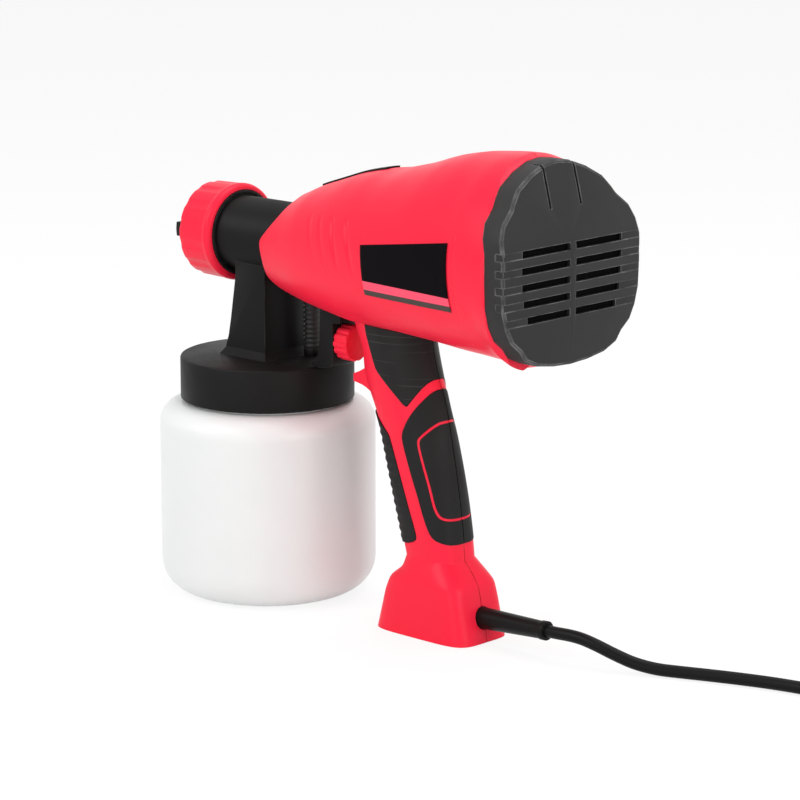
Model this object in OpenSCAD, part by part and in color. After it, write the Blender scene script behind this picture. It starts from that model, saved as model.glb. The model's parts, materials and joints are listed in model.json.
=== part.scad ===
// Hand-held electric paint sprayer with a cup under the barrel.
// +Z is up, the nozzle points along -X, and the left side is -Y.
// The origin is the centre of the cup's foot, where the cup stands.

/* [Cup] */
// Outer radius of the cup
cup_r = 55; // [52:0.5:58]
// Wall of the cup
cup_wall = 1.8; // [1.2:0.1:2.5]
// Radius of the cup's lower corner
cup_corner = 17; // [10:1:20]

/* [Lid] */
// Outer radius of the lid
lid_r = 44.3; // [44:0.1:46]
// Height of the lid's lower edge
lid_low = 100.2; // [98:0.2:102]
// Height of the lid's top
lid_top = 122; // [120:0.5:124]
// Wall of the lid
lid_wall = 2.3; // [1.8:0.1:2.5]

/* [Column] */
// Half width of the column
column_half = 14; // [12:0.5:15]
// Rear face of the column
column_rear = 12.6; // [11:0.2:13.4]

/* [Barrel] */
// Height of the barrel's axis
axis_z = 182.6; // [180:0.2:185]
// Outer radius of the barrel
barrel_r = 18.8; // [18:0.1:19.2]
// Wall of the barrel
barrel_wall = 2.8; // [2:0.1:3.5]
// Rear end of the barrel
barrel_rear = 42; // [40:0.5:43.5]
// Rear face of the barrel's front flange
flange_x = -16.5; // [-18:0.1:-16]
// Radius of the barrel's front flange
flange_r = 21.4; // [21:0.1:21.6]
// Radius of the fluid tube inside the barrel
fluid_tube_r = 7; // [6:0.2:8]

/* [Front end] */
// Outer radius of the ring nut
ring_r = 24.8; // [24.4:0.1:26]
// Front face of the ring nut
ring_front = -39.4; // [-41:0.1:-39]
// Number of grip flutes round the ring nut
ring_flutes = 14; // [10:1:18]
// Tip of the air cap's horns
horn_tip = -49; // [-50:0.1:-47]

/* [Needle] */
// Radius of the needle
needle_r = 1.2; // [1:0.05:1.3]
// Rear end of the needle
needle_rear = 60; // [59.5:0.1:61]

/* [Trigger] */
// Trigger pivot, distance behind the cup's axis
pivot_x = 52; // [51:0.5:53]
// Height of the trigger pivot
pivot_z = 203; // [202:0.5:204]
// Radius of the trigger pin
pivot_r = 2; // [1.5:0.1:2.5]
// Half width of the trigger
trigger_half = 9; // [7:0.5:9.5]

/* [Flow knob] */
// Height of the flow knob's axis
knob_z = 136; // [135:0.2:137]
// Radius of the flow knob
knob_r = 9.1; // [8:0.1:9.4]
// Front face of the flow knob
knob_front = 55.6; // [55.5:0.1:56]
// Length of the flow knob
knob_len = 8.5; // [7:0.1:9]
// Radius of the flow knob's screw
screw_r = 3; // [2.5:0.1:3.5]

/* [Housing] */
// Wall of the housing halves
shell = 2.4; // [2:0.1:2.6]
// Rear end of the red housing
body_rear = 191; // [190:0.2:192]
// Depth that the grip pads are let in
pad_depth = 2; // [1.5:0.1:2.1]

/* [Rear cover] */
// How far the cover stands out behind the housing
cover_deep = 11.5; // [10.5:0.1:13]
// Wall of the cover
cover_wall = 2.2; // [1.8:0.1:2.6]
// Height of one air slot
slot_h = 3.4; // [2.6:0.1:4]
// Spacing of the air slots
slot_pitch = 7.76; // [7.2:0.02:8]
// Half width of the rib between the two slot columns
slot_rib = 2; // [1.5:0.1:3]

/* [Motor] */
// Height of the motor's axis
motor_z = 192; // [191:0.5:193]
// Outer radius of the field stack
stator_r = 27; // [25:0.5:27.5]
// Radius of the armature
armature_r = 16.6; // [15:0.1:16.8]
// Radius of the motor shaft
shaft_r = 3; // [2.5:0.1:3.2]
// Radius of the fan
fan_r = 34; // [30:0.5:34.4]
// Number of fan blades
fan_blades = 12; // [8:1:16]

/* [Lead] */
// Diameter of the mains lead
lead_d = 6; // [5.4:0.1:6.4]
// Length of the strain relief outside the foot
relief_len = 42; // [36:1:50]
// Radius of the strain relief where it leaves the foot
relief_r = 5.4; // [5:0.1:5.8]

/* [Hidden] */

// Clearances
gap = 0.3;          // between seated pieces
run = 0.05;         // radial, round a shaft that turns or slides
mesh_gap = 0.25;    // round a facet-built pocket
far = 400;          // longer than anything in the part
eps = 0.02;         // thickness of a loft's section
section_steps = 24; // points round a loft's section

// The cup's neck fits inside the lid, with room for the threads
thread_room = 1;
neck_r = lid_r - lid_wall - thread_room;

// ---------------------------------------------------------------- housing
// Sections across X: x, half width, top, bottom, height of the widest line,
// exponent of the upper curve, exponent of the lower curve.
body_sections = [
    [12, 20.6, 203.6, 161.0, 182.6, 2.0, 2.0],
    [20, 22.2, 204.4, 156.8, 183.0, 2.0, 2.1],
    [34, 26.4, 209.0, 154.0, 184.2, 2.0, 2.2],
    [46, 29.8, 214.2, 152.2, 185.4, 2.1, 2.3],
    [60, 33.0, 218.6, 150.2, 186.4, 2.1, 2.3],
    [74, 35.8, 223.2, 148.6, 187.4, 2.1, 2.4],
    [87, 38.0, 226.0, 148.6, 188.4, 2.1, 2.4],
    [99, 39.8, 227.4, 148.6, 189.2, 2.1, 2.5],
    [119, 42.4, 232.2, 147.9, 190.6, 2.1, 2.5],
    [135, 44.2, 237.4, 146.8, 191.6, 2.1, 2.4],
    [150, 45.8, 240.2, 145.4, 192.6, 2.05, 2.35],
    [166, 47.2, 241.6, 144.4, 193.6, 2.0, 2.25],
    [169, 48.4, 241.9, 144.2, 193.8, 2.0, 2.25],
    [181, 49.6, 242.2, 143.4, 194.4, 1.85, 2.2],
    [body_rear, 50.2, 241.0, 141.9, 195.0, 1.72, 2.7]];
cavity_from = 3;    // first section that has a hollow behind it

// Sections across Z: z, front x, rear x, half width, front exponent, rear exponent.
handle_sections = [
    [160, 65.0, 113, 17.0, 2.6, 1.5],
    [148, 69.6, 113.4, 16.4, 2.6, 1.6],
    [138, 75.0, 114.6, 16.0, 2.6, 1.7],
    [125, 75.0, 118.6, 15.8, 2.6, 1.7],
    [117, 78.6, 122.0, 15.4, 2.6, 1.6],
    [108, 83.0, 124.5, 15.2, 2.6, 1.6],
    [98, 87.0, 126.5, 15.1, 2.6, 1.9],
    [82, 91.9, 129.8, 15.1, 2.8, 2.1],
    [66.5, 96.7, 132.5, 15.0, 3.0, 2.3],
    [50, 101.2, 134.7, 14.4, 3.0, 2.6],
    [38, 103.8, 135.9, 13.4, 3.0, 3.0]];
foot_sections = [
    [38, 103.8, 135.9, 13.4, 3.0, 3.0],
    [32, 102.8, 141.4, 15.8, 3.4, 3.4],
    [27, 97.0, 144.8, 17.6, 4.5, 4.5],
    [20, 94.6, 146.2, 18.2, 5.0, 5.0],
    [0, 89.6, 150.8, 19.2, 5.0, 5.0]];

function bow(t, n) = sign(t) * pow(abs(t), 2 / n);

function body_outline(s, d) = [for (i = [0 : section_steps - 1])
    let (a = 360 * i / section_steps, up = sin(a) >= 0,
         n = up ? s[5] : s[6], h = up ? s[2] - s[4] : s[4] - s[3])
    [(s[1] - d) * bow(cos(a), n), s[4] + (h - d) * bow(sin(a), n)]];

function handle_outline(s, d, swell) = [for (i = [0 : section_steps - 1])
    let (a = 360 * i / section_steps, n = cos(a) < 0 ? s[4] : s[5], front = s[1] - swell)
    [(front + s[2]) / 2 + ((s[2] - front) / 2 - d) * bow(cos(a), n),
     (s[3] - d) * bow(sin(a), n)]];

module body_section(s, d) {
    translate([s[0], 0, 0]) rotate([90, 0, 90])
        linear_extrude(eps) polygon(body_outline(s, d));
}

module body_form(d, first = 0) {
    for (i = [first : len(body_sections) - 2]) hull() {
        body_section(body_sections[i], d);
        body_section(body_sections[i + 1], d);
    }
}

module upright_form(sections, d, swell = 0) {
    for (i = [0 : len(sections) - 2]) hull() {
        translate([0, 0, sections[i][0] - eps])
            linear_extrude(eps) polygon(handle_outline(sections[i], d, swell));
        translate([0, 0, sections[i + 1][0]])
            linear_extrude(eps) polygon(handle_outline(sections[i + 1], d, swell));
    }
}

// Extrudes a side view, drawn as [x, z], from y = -half to y = half
module side_view(points, half) {
    translate([0, half, 0]) rotate([90, 0, 0])
        linear_extrude(2 * half) polygon(points);
}

// The finger spur under the trigger
spur_view = [[60.6, 119.6], [62, 121.2], [67, 122.4], [72, 124.4], [78, 128],
    [86, 112], [80.5, 114.5], [75, 117.4], [68, 118.8], [61.5, 118.4]];
spur_half = 7;

// The part of the body that is cut away in front, so that the barrel shows
nose_view = [[-60, far], [34.4, far], [34.4, 206.4], [32.2, 203.8], [28.6, 197.6],
    [23.8, 192.2], [19, 187.2], [17.3, 185.2], [16.8, 183], [17.4, 179], [18, 175],
    [17.6, 170], [16.4, 165], [16, 160], [16, 100], [-60, 100]];

// Side views of the black pads on the handle
upper_panel_view = [[84, 165], [84.1, 148], [86.4, 140.6], [89.1, 133.6], [91.2, 128.8],
    [97, 123.8], [103.6, 117.8], [109.2, 112.2], [111.5, 116], [113.8, 119.9],
    [116.4, 124.4], [118.4, 126.4], [140, 127], [140, 165]];
rear_grip_view = [[107.4, 98.8], [110.5, 106.9], [113.2, 112], [116.5, 117.1],
    [118.8, 120.6], [121, 122], [150, 122.4], [150, 46], [135, 46.4], [130.4, 48],
    [127, 49.6], [124.7, 52.4], [121.8, 58.9], [118.2, 69.3], [113.6, 80.6], [109.4, 91.8]];
grip_line_view = [[116, 97.7], [118.2, 100.6], [121, 104], [124, 107], [150, 108.6],
    [150, 58], [133.6, 58.2], [131, 58.8], [128.6, 60.3], [126.3, 64.5],
    [123.2, 75], [119.5, 85.4], [116.6, 93.9]];
grip_line_w = 1.3;
front_grip_view = [[60, 112], [84, 107.6], [92, 103], [98.7, 98], [100.2, 95],
    [104.6, 84], [108.9, 72.8], [117, 50.4], [116.6, 47.8], [114.5, 46.4],
    [108.6, 44.6], [90, 43], [60, 43]];

module grip_line() {
    translate([0, far, 0]) rotate([90, 0, 0]) linear_extrude(2 * far) difference() {
        polygon(grip_line_view);
        offset(delta = -grip_line_w) polygon(grip_line_view);
    }
}

// Housing screws
case_screw_r = 1.5;
screw_head_r = 2.8;
screw_head_y = 6;
screw_head_h = 2.4;
screw_tip_y = -8;
boss_r = 3.6;

// Slot in the underside through which the trigger passes
slot_x = [43.4, 67.6];
slot_half = trigger_half + 0.8;

// Pivot bosses leave this gap between them for the trigger's arms
pivot_gap = trigger_half + 0.3;
pin_half = 20;

// Hollow in the front of the handle, into which the flow knob swings
knob_room_x = 71.8;
knob_room_z = [125, 150];

// Bulkheads that carry the motor: x, radius of the seat
rib_w = 2.4;
spring_rib_x = 69.7;
spring_rib_low = 172;
front_rib_x = 90;
rear_rib_x = 158;
// The motor's bracket and the fan's case, which the bulkheads hold
bracket_r = stator_r + 2;
fan_gap = 1.2;
fan_case_wall = 3.2;
fan_case_r = fan_r + fan_gap + fan_case_wall;

// Positions of the housing screws, as [x, z]; two stand clear of the fan's case
fan_screw_room = 4.9;
screw_spots = [[38, 205.8], [99.5, 157.5], [128, 227.5], [128, 153.2],
    [170, motor_z + fan_case_r + fan_screw_room], [170, motor_z - fan_case_r - fan_screw_room],
    [98, 112], [112, 41], [130, 24]];

// The lead leaves the foot along this frame's Z axis
lead_x = 145;
lead_z = 11.6;
lead_rise = 2.4;
module lead_frame() {
    translate([lead_x, 0, lead_z]) rotate([0, 90 - lead_rise, 0]) children();
}

module rib_disc(x, seat_r, low = 0) {
    difference() {
        intersection() {
            body_form(shell - 0.4);
            translate([x, -far / 2, low]) cube([rib_w, far, far]);
        }
        translate([x - 1, 0, low > 0 ? axis_z : motor_z]) rotate([0, 90, 0])
            cylinder(h = rib_w + 2, r = seat_r + gap, $fn = 48);
    }
}

// A shelf across the housing, on which the switch sits
module switch_shelf() {
    intersection() {
        body_form(shell - 0.4);
        translate([slot_x[1] + 1, -far / 2, switch_low - gap - rib_w]) cube([16, far, rib_w]);
    }
}

module housing_core() {
    difference() {
        union() {
            difference() {
                body_form(0);
                body_form(shell, cavity_from);
            }
            difference() {
                union() {
                    upright_form(handle_sections, 0);
                    upright_form(foot_sections, 0);
                    side_view(spur_view, spur_half);
                }
                upright_form(handle_sections, shell + pad_depth);
                intersection() {
                    upright_form(foot_sections, shell);
                    translate([0, -far / 2, shell]) cube([far, far, 60]);
                }
                body_form(shell, cavity_from);
            }
            rib_disc(spring_rib_x, spring_cap_r, spring_rib_low);
            switch_shelf();
            rib_disc(front_rib_x, bracket_r);
            rib_disc(rear_rib_x, fan_case_r);
            screw_bosses();
            pivot_bosses();
        }
        // room for the barrel
        translate([-60, 0, axis_z]) rotate([0, 90, 0])
            cylinder(h = 110, r = barrel_r + mesh_gap, $fn = 64);
        side_view(nose_view, far / 2);
        // room for the air hose
        translate([hose_x, hose_y, 100]) cylinder(h = hose_top - 90, r = hose_r + 1.4, $fn = 32);
        behind(body_rear);
        // trigger slot
        translate([slot_x[0], -slot_half, 100]) cube([slot_x[1] - slot_x[0], 2 * slot_half, 72]);
        translate([slot_x[0], -knob_r - 0.8, knob_room_z[0]])
            cube([knob_room_x - slot_x[0], 2 * knob_r + 1.6, knob_room_z[1] - knob_room_z[0]]);
        // pin hole
        translate([pivot_x, 0, pivot_z]) rotate([90, 0, 0])
            cylinder(h = 2 * (pin_half + gap), r = pivot_r + mesh_gap, center = true, $fn = 32);
        // hole for the strain relief
        lead_frame() translate([0, 0, -9]) cylinder(h = 30, r = relief_r + mesh_gap, $fn = 40);
    }
}

// Everything behind the seam of the rear cover, or a plane parallel to it.
// Above the bend the plane leans forward.
module behind(x) {
    rise = 90;
    side_view([[x, -60], [x, cover_bend_z], [x - rise * tan(cover_lean), cover_bend_z + rise],
        [x + far, cover_bend_z + rise], [x + far, -60]], far / 2);
}

module screw_bosses() {
    for (p = screw_spots) intersection() {
        translate([p[0], 40, p[1]]) rotate([90, 0, 0]) cylinder(h = 80, r = boss_r, $fn = 16);
        union() {
            body_form(0.8);
            upright_form(handle_sections, shell);
            upright_form(foot_sections, 0.8);
        }
    }
}

module pivot_bosses() {
    for (side = [-1, 1]) intersection() {
        translate([pivot_x, side * (pivot_gap + 20), pivot_z]) rotate([90, 0, 0])
            cylinder(h = 40, r = pivot_r + 2.4, center = true, $fn = 32);
        body_form(0.8);
    }
}

module pad_pockets() {
    difference() {
        union() {
            side_view(upper_panel_view, far / 2);
            difference() {
                side_view(rear_grip_view, far / 2);
                grip_line();
            }
            side_view(front_grip_view, far / 2);
        }
        upright_form(handle_sections, pad_depth);
        body_form(-0.2);
        translate([0, -far / 2, -10]) cube([far, far, 50]);
        side_view(spur_view, spur_half + 1);
    }
}

// The screws go in from the right, so their recesses show only there
module screw_holes() {
    for (p = screw_spots) translate([p[0], screw_tip_y - 1, p[1]]) rotate([-90, 0, 0]) {
        cylinder(h = 80, r = case_screw_r + mesh_gap, $fn = 14);
        translate([0, 0, screw_head_y - screw_tip_y + 1 - gap])
            cylinder(h = 80, r = screw_head_r + mesh_gap, $fn = 16);
    }
}

module housing_half(side) {
    color([0.86, 0.10, 0.17]) difference() {
        housing_core();
        translate([-far / 2, side < 0 ? 0 : -far, -far / 2]) cube([far * 2, far, far * 2]);
        pad_pockets();
        screw_holes();
        insert_pocket();
    }
}

module housing_left() { housing_half(-1); }
module housing_right() { housing_half(1); }

// ------------------------------------------------------------ trim and pads
insert_from = 45;
insert_to = 74;
insert_half = 5;

module insert_region(extra) {
    translate([insert_from - extra, -insert_half - extra, 205])
        cube([insert_to - insert_from + 2 * extra, 2 * (insert_half + extra), 40]);
}

module insert_pocket() {
    difference() {
        insert_region(mesh_gap);
        body_form(1);
    }
}

module top_insert() {
    color([0.06, 0.06, 0.065]) intersection() {
        insert_region(0);
        difference() {
            body_form(-0.4);
            body_form(1 - mesh_gap);
        }
    }
}

module half_space(side) {
    translate([-far / 2, side < 0 ? -far : 0, -far / 2]) cube([far * 2, far, far * 2]);
}

module pad_skin(swell = 0) {
    difference() {
        upright_form(handle_sections, -0.3, swell);
        upright_form(handle_sections, pad_depth - 0.1);
        body_form(-0.35);
    }
}

module upper_panel(side) {
    color([0.06, 0.06, 0.065]) intersection() {
        half_space(side);
        side_view(upper_panel_view, far / 2);
        pad_skin();
    }
}
module upper_panel_left() { upper_panel(-1); }
module upper_panel_right() { upper_panel(1); }

module rear_grip(side) {
    color([0.07, 0.07, 0.075]) intersection() {
        half_space(side);
        difference() {
            side_view(rear_grip_view, far / 2);
            grip_line();
        }
        pad_skin();
    }
}
module rear_grip_left() { rear_grip(-1); }
module rear_grip_right() { rear_grip(1); }

// Finger ripples along the front grip, seen from the side as [x, z]
grip_swell = 1.1;
ripple_from = 46;
ripple_to = 100;
ripple_count = 13;
function grip_front(z) = lookup(z, [for (s = [len(handle_sections) - 1 : -1 : 0])
    [handle_sections[s][0], handle_sections[s][1]]]);
ripple_view = concat([[160, ripple_from - 8]],
    [for (i = [0 : ripple_count * 4]) let (z = ripple_from + (ripple_to - ripple_from) * i / (ripple_count * 4))
        [grip_front(z) - grip_swell * (0.75 + 0.45 * sin(90 * i)), z]],
    [[80, ripple_to + 8], [160, ripple_to + 8]]);

module front_grip(side) {
    color([0.07, 0.07, 0.075]) intersection() {
        half_space(side);
        side_view(front_grip_view, far / 2);
        side_view(ripple_view, far / 2);
        pad_skin(grip_swell);
    }
}
module front_grip_left() { front_grip(-1); }
module front_grip_right() { front_grip(1); }

plate_view = [[106, 172.6], [104.4, 194], [106.4, 195.6], [163.4, 204], [165.6, 202.4],
    [166, 172.6], [164.4, 171.2], [108, 171.2]];
plate_t = 0.6;

module label_plate() {
    color([0.03, 0.03, 0.035]) intersection() {
        half_space(-1);
        side_view(plate_view, far / 2);
        difference() {
            body_form(-plate_t);
            body_form(0);
        }
    }
}

// ---------------------------------------------------------------- rear cover
// Half outline of the cover, as [y, z], from the top down
cover_half = [[0, 240.4], [9, 239.4], [20, 235.6], [30.3, 230.0], [34.6, 225.4], [37.6, 221.4],
    [45, 215.4], [48.2, 209], [49.2, 202], [49.2, 188], [48.6, 176], [46.2, 167.6],
    [42.4, 160.8], [36.4, 156.2], [32.6, 151.4], [24, 147.8], [12, 146], [0, 145.4]];
cover_half_w = max([for (p = cover_half) p[0]]);
cover_outline = concat(cover_half, [for (i = [len(cover_half) - 2 : -1 : 1])
    [-cover_half[i][0], cover_half[i][1]]]);
cover_face = body_rear + cover_deep;
cover_bend_z = 201.4;
cover_lean = 15;
cover_seal = 0.1;
cover_lip = 1.2;
slot_ends = [35.4, 35.6, 35.3, 34.2, 31.6];
slot_top = 201.3;
slit_y = 10.8;
slit_w = 1.6;
slit_low = 219;
groove_deep = 0.5;
rim_notch_deep = 0.6;
rim_notch_from = 5;     // in front of the cover's face

module cover_prism(inset, to) {
    intersection() {
        translate([body_rear - 20, 0, 0]) rotate([90, 0, 90])
            linear_extrude(cover_deep + 21) offset(delta = -inset) polygon(cover_outline);
        difference() {
            behind(body_rear + cover_seal);
            behind(to);
        }
    }
}

module rear_cover() {
    color([0.055, 0.055, 0.06]) difference() {
        union() {
            cover_prism(0, cover_face - cover_lip);
            cover_prism(cover_lip * 0.4, cover_face - cover_lip * 0.4);
            cover_prism(cover_lip, cover_face);
        }
        translate([-1, 0, 0]) cover_prism(cover_wall, cover_face - cover_wall + 1);
        for (i = [0 : len(slot_ends) - 1], side = [-1, 1]) {
            z = slot_top - i * slot_pitch;
            y0 = side < 0 ? -slot_ends[i] : slot_rib;
            translate([cover_face - 5, y0, z - slot_h / 2])
                cube([10, slot_ends[i] - slot_rib, slot_h]);
            translate([cover_face - groove_deep, side < 0 ? -60 : slot_ends[i] - 1, z - slot_h / 2])
                cube([5, 61 - slot_ends[i], slot_h]);
            translate([cover_face - rim_notch_from, side < 0 ? -60 : cover_half_w - rim_notch_deep,
                z - slot_h / 2]) cube([20, 60 - cover_half_w + rim_notch_deep, slot_h]);
        }
        for (side = [-1, 1]) translate([cover_face - 16, side * slit_y - slit_w / 2, slit_low])
            cube([30, slit_w, 30]);
    }
}

filter_half = 39;
filter_z = [162, 203.2];
filter_t = 5;
module air_filter() {
    color([0.12, 0.12, 0.12])
        translate([cover_face - cover_wall - 0.6 - filter_t, -filter_half, filter_z[0]])
        cube([filter_t, 2 * filter_half, filter_z[1] - filter_z[0]]);
}

module housing_screws() {
    color([0.55, 0.56, 0.58]) for (p = screw_spots)
        translate([p[0], screw_tip_y, p[1]]) rotate([-90, 0, 0]) difference() {
            union() {
                cylinder(h = screw_head_y - screw_tip_y + 1, r = case_screw_r, $fn = 24);
                translate([0, 0, screw_head_y - screw_tip_y])
                    cylinder(h = screw_head_h, r = screw_head_r, $fn = 32);
            }
            for (a = [0, 90]) rotate([0, 0, a])
                translate([-1.7, -0.35, screw_head_y - screw_tip_y + screw_head_h - 1.2])
                cube([3.4, 0.7, 2]);
        }
}

// ---------------------------------------------------------------- spray head
column_view = [[column_rear, axis_z - 8], [column_rear, lid_top - 1], [-16.4, lid_top - 1],
    [-15.6, 126], [-13.6, 132], [-12, 140], [-10, 152], [-8.4, 162], [-7.8, axis_z - 8]];
barrel_bore = barrel_r - barrel_wall;
collar_r = 20.3;
collar_front = -34;
fluid_bore = 2.6;
nozzle_thread_r = 4.6;
nozzle_seat = -28;
tube_front = -36;
tube_rear = 22;
packing_r = 4;
packing_len = 8;
post_half = 5;
hose_x = 19.5;
hose_y = 13;
hose_r = 3.5;
hose_bore = 2;
hose_top = 166;
dip_r = 3.2;
socket_z = 116;

module along_x(x, z = axis_z) { translate([x, 0, z]) rotate([0, 90, 0]) children(); }

module lid_shell() {
    rotate_extrude($fn = 96) polygon([
        [fluid_bore, lid_top], [lid_r - 1.2, lid_top], [lid_r - 0.4, lid_top - 0.4],
        [lid_r, lid_top - 1.2], [lid_r, lid_low + 0.6], [lid_r - 0.6, lid_low],
        [lid_r - lid_wall, lid_low], [lid_r - lid_wall, lid_top - lid_wall - 0.3],
        [dip_r + 3, lid_top - lid_wall - 0.3], [dip_r + 3, socket_z - 5],
        [dip_r + run, socket_z - 5], [dip_r + run, lid_top - 3], [fluid_bore, lid_top - 3]]);
}

module spray_head() {
    color([0.06, 0.06, 0.065]) difference() {
        union() {
            lid_shell();
            difference() {
                side_view(column_view, column_half);
                translate([0, 0, 100]) cylinder(h = far, r = fluid_bore, $fn = 32);
            }
            hull() {
                translate([-18, -column_half - 2.4, lid_top - 0.4])
                    cube([column_rear + 20.4, 2 * column_half + 4.8, 0.4]);
                translate([-15.4, -column_half, lid_top + 3.6])
                    cube([column_rear + 15.4, 2 * column_half, 0.1]);
            }
            along_x(flange_x - 3) cylinder(h = barrel_rear - flange_x + 3, r = barrel_r, $fn = 96);
            along_x(flange_x - 3) cylinder(h = 3, r = flange_r, $fn = 96);
            along_x(collar_front) cylinder(h = flange_x - 2 - collar_front, r = collar_r, $fn = 96);
            translate([hose_x, hose_y, hose_top]) cylinder(h = 8, r = hose_r + 0.6, $fn = 32);
        }
        along_x(flange_x - 1.4) difference() {
            cylinder(h = 3, r = flange_r - 1.2, $fn = 96);
            cylinder(h = 3, r = barrel_r, $fn = 96);
        }
        difference() {
            along_x(collar_front - 1)
                cylinder(h = barrel_rear - collar_front + 2, r = barrel_bore, $fn = 96);
            along_x(collar_front - 2)
                cylinder(h = tube_rear - collar_front + 2, r = fluid_tube_r, $fn = 48);
            translate([-7, -post_half, axis_z - 30]) cube([17, 2 * post_half, 30]);
        }
        along_x(tube_front - 1) cylinder(h = nozzle_seat - tube_front + 1, r = nozzle_thread_r, $fn = 40);
        along_x(nozzle_seat - 1) cylinder(h = 60, r = fluid_bore, $fn = 32);
        along_x(tube_rear - packing_len) cylinder(h = 20, r = packing_r + run, $fn = 40);
        translate([0, 0, lid_top - 3]) cylinder(h = axis_z - lid_top + 3, r = fluid_bore, $fn = 32);
        translate([hose_x, hose_y, hose_top - 1]) cylinder(h = 12, r = hose_bore, $fn = 24);
        translate([hose_x, hose_y, lid_top - 6]) cylinder(h = 12, r = valve_stem_r + run, $fn = 24);
    }
}

// ---------------------------------------------------------------- front end
ring_rear = -16.9;
ring_grip_rear = -20.6;
ring_lip = 16.8;
ring_taper = 0.7;
cap_r = 19.4;
cap_back = -35.6;
cap_front = -38;

ring_flute_r = 8;
ring_flute_deep = 0.7;

module ring_nut() {
    color([0.86, 0.10, 0.17]) difference() {
        along_x(ring_front) union() {
            cylinder(h = 1.2, r1 = ring_r - ring_taper - 1.2, r2 = ring_r - ring_taper, $fn = 84);
            translate([0, 0, 1.2]) cylinder(h = ring_grip_rear - ring_front - 1.2,
                r1 = ring_r - ring_taper, r2 = ring_r - 0.2, $fn = 84);
            translate([0, 0, ring_grip_rear - ring_front])
                cylinder(h = ring_rear - ring_grip_rear, r1 = ring_r, r2 = ring_r - 1.8, $fn = 84);
        }
        along_x(ring_front - 1) cylinder(h = 40, r = ring_lip, $fn = 84);
        along_x(cap_front - 0.2) cylinder(h = 40, r = collar_r + 0.4, $fn = 84);
        along_x(flange_x - 3.4) cylinder(h = 40, r = flange_r + 0.35, $fn = 84);
        for (i = [0 : ring_flutes - 1]) along_x(ring_front - 1)
            rotate([0, 0, (i + 0.5) * 360 / ring_flutes]) translate([ring_r + ring_flute_r - ring_flute_deep, 0, 0])
                cylinder(h = ring_grip_rear - ring_front - 0.6, r = ring_flute_r, $fn = 48);
    }
}

module air_cap() {
    horn_y = [10.5, 16.4];
    color([0.06, 0.06, 0.065]) difference() {
        union() {
            along_x(cap_front) cylinder(h = cap_back - cap_front, r = cap_r, $fn = 72);
            along_x(cap_front - 4.5) cylinder(h = 5, r1 = 12.5, r2 = ring_lip - 0.5, $fn = 72);
            for (side = [-1, 1]) intersection() {
                translate([horn_tip, side < 0 ? -horn_y[1] : horn_y[0], axis_z - 3.6])
                    cube([cap_front - horn_tip, horn_y[1] - horn_y[0], 7.2]);
                along_x(horn_tip) cylinder(h = 20, r = ring_lip - 0.4, $fn = 72);
            }
        }
        along_x(cap_front - 6) cylinder(h = 12, r = 2.9, $fn = 40);
        along_x(cap_front - 2.5) cylinder(h = 8, r1 = 6, r2 = 14.5, $fn = 72);
        for (side = [-1, 1]) translate([horn_tip + 3, side * horn_y[0], axis_z])
            rotate([90, 0, side * 55]) cylinder(h = 8, r = 0.8, center = true, $fn = 20);
        for (i = [0 : 5]) along_x(cap_front - 6) rotate([0, 0, i * 60 + 30])
            translate([6.2, 0, 0]) cylinder(h = 12, r = 0.7, $fn = 20);
    }
}

module cap_seal() {
    color([0.15, 0.15, 0.15]) along_x(cap_back + 0.1) difference() {
        cylinder(h = 1.4, r = 19, $fn = 72);
        translate([0, 0, -1]) cylinder(h = 4, r = 16.4, $fn = 72);
    }
}

nozzle_tip = -44.6;
module fluid_nozzle() {
    color([0.72, 0.73, 0.75]) difference() {
        union() {
            along_x(tube_front - 0.2)
                cylinder(h = nozzle_seat - tube_front, r = nozzle_thread_r - run, $fn = 40);
            along_x(tube_front - 0.7) rotate([0, 0, 30]) cylinder(h = 0.6, r = 6, $fn = 6);
            along_x(nozzle_tip + 3.6)
                cylinder(h = tube_front - nozzle_tip - 4.2, r1 = 2.2, r2 = 4.9, $fn = 40);
            along_x(nozzle_tip) cylinder(h = 3.8, r = 2.2, $fn = 40);
        }
        along_x(nozzle_tip + 3) cylinder(h = 40, r = needle_r + 0.5, $fn = 32);
        along_x(nozzle_tip - 0.1) cylinder(h = 3.3, r1 = 0.75, r2 = 1.45, $fn = 32);
    }
}

module needle() {
    color([0.75, 0.76, 0.78]) {
        along_x(nozzle_tip + 3.2) cylinder(h = needle_rear - nozzle_tip - 3.2, r = needle_r, $fn = 32);
        along_x(nozzle_tip + 0.4) cylinder(h = 2.8, r1 = 0.5, r2 = needle_r, $fn = 32);
        along_x(collar_x) cylinder(h = needle_rear - collar_x, r = collar_pad_r, $fn = 40);
    }
}
collar_x = 57.4;
collar_pad_r = 4.4;

module needle_packing() {
    color([0.72, 0.60, 0.30]) difference() {
        union() {
            along_x(tube_rear - packing_len + 0.3)
                cylinder(h = packing_len, r = packing_r, $fn = 40);
            along_x(tube_rear + 0.1) cylinder(h = 5, r = 6.2, $fn = 6);
        }
        along_x(0) cylinder(h = 40, r = needle_r + run, $fn = 32);
    }
}

// The needle spring: an unbroken tube wound round the needle's axis
spring_wire = 0.8;
spring_mid_r = 3.7;
spring_turns = 5;
spring_from = 60.1;
spring_len = 9.6;
spring_steps = 12;
spring_sides = 6;

function frame_ring(c, u, v, r, n) = [for (k = [0 : n - 1])
    c + r * cos(360 * k / n) * u + r * sin(360 * k / n) * v];
function unit(v) = v / norm(v);

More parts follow.
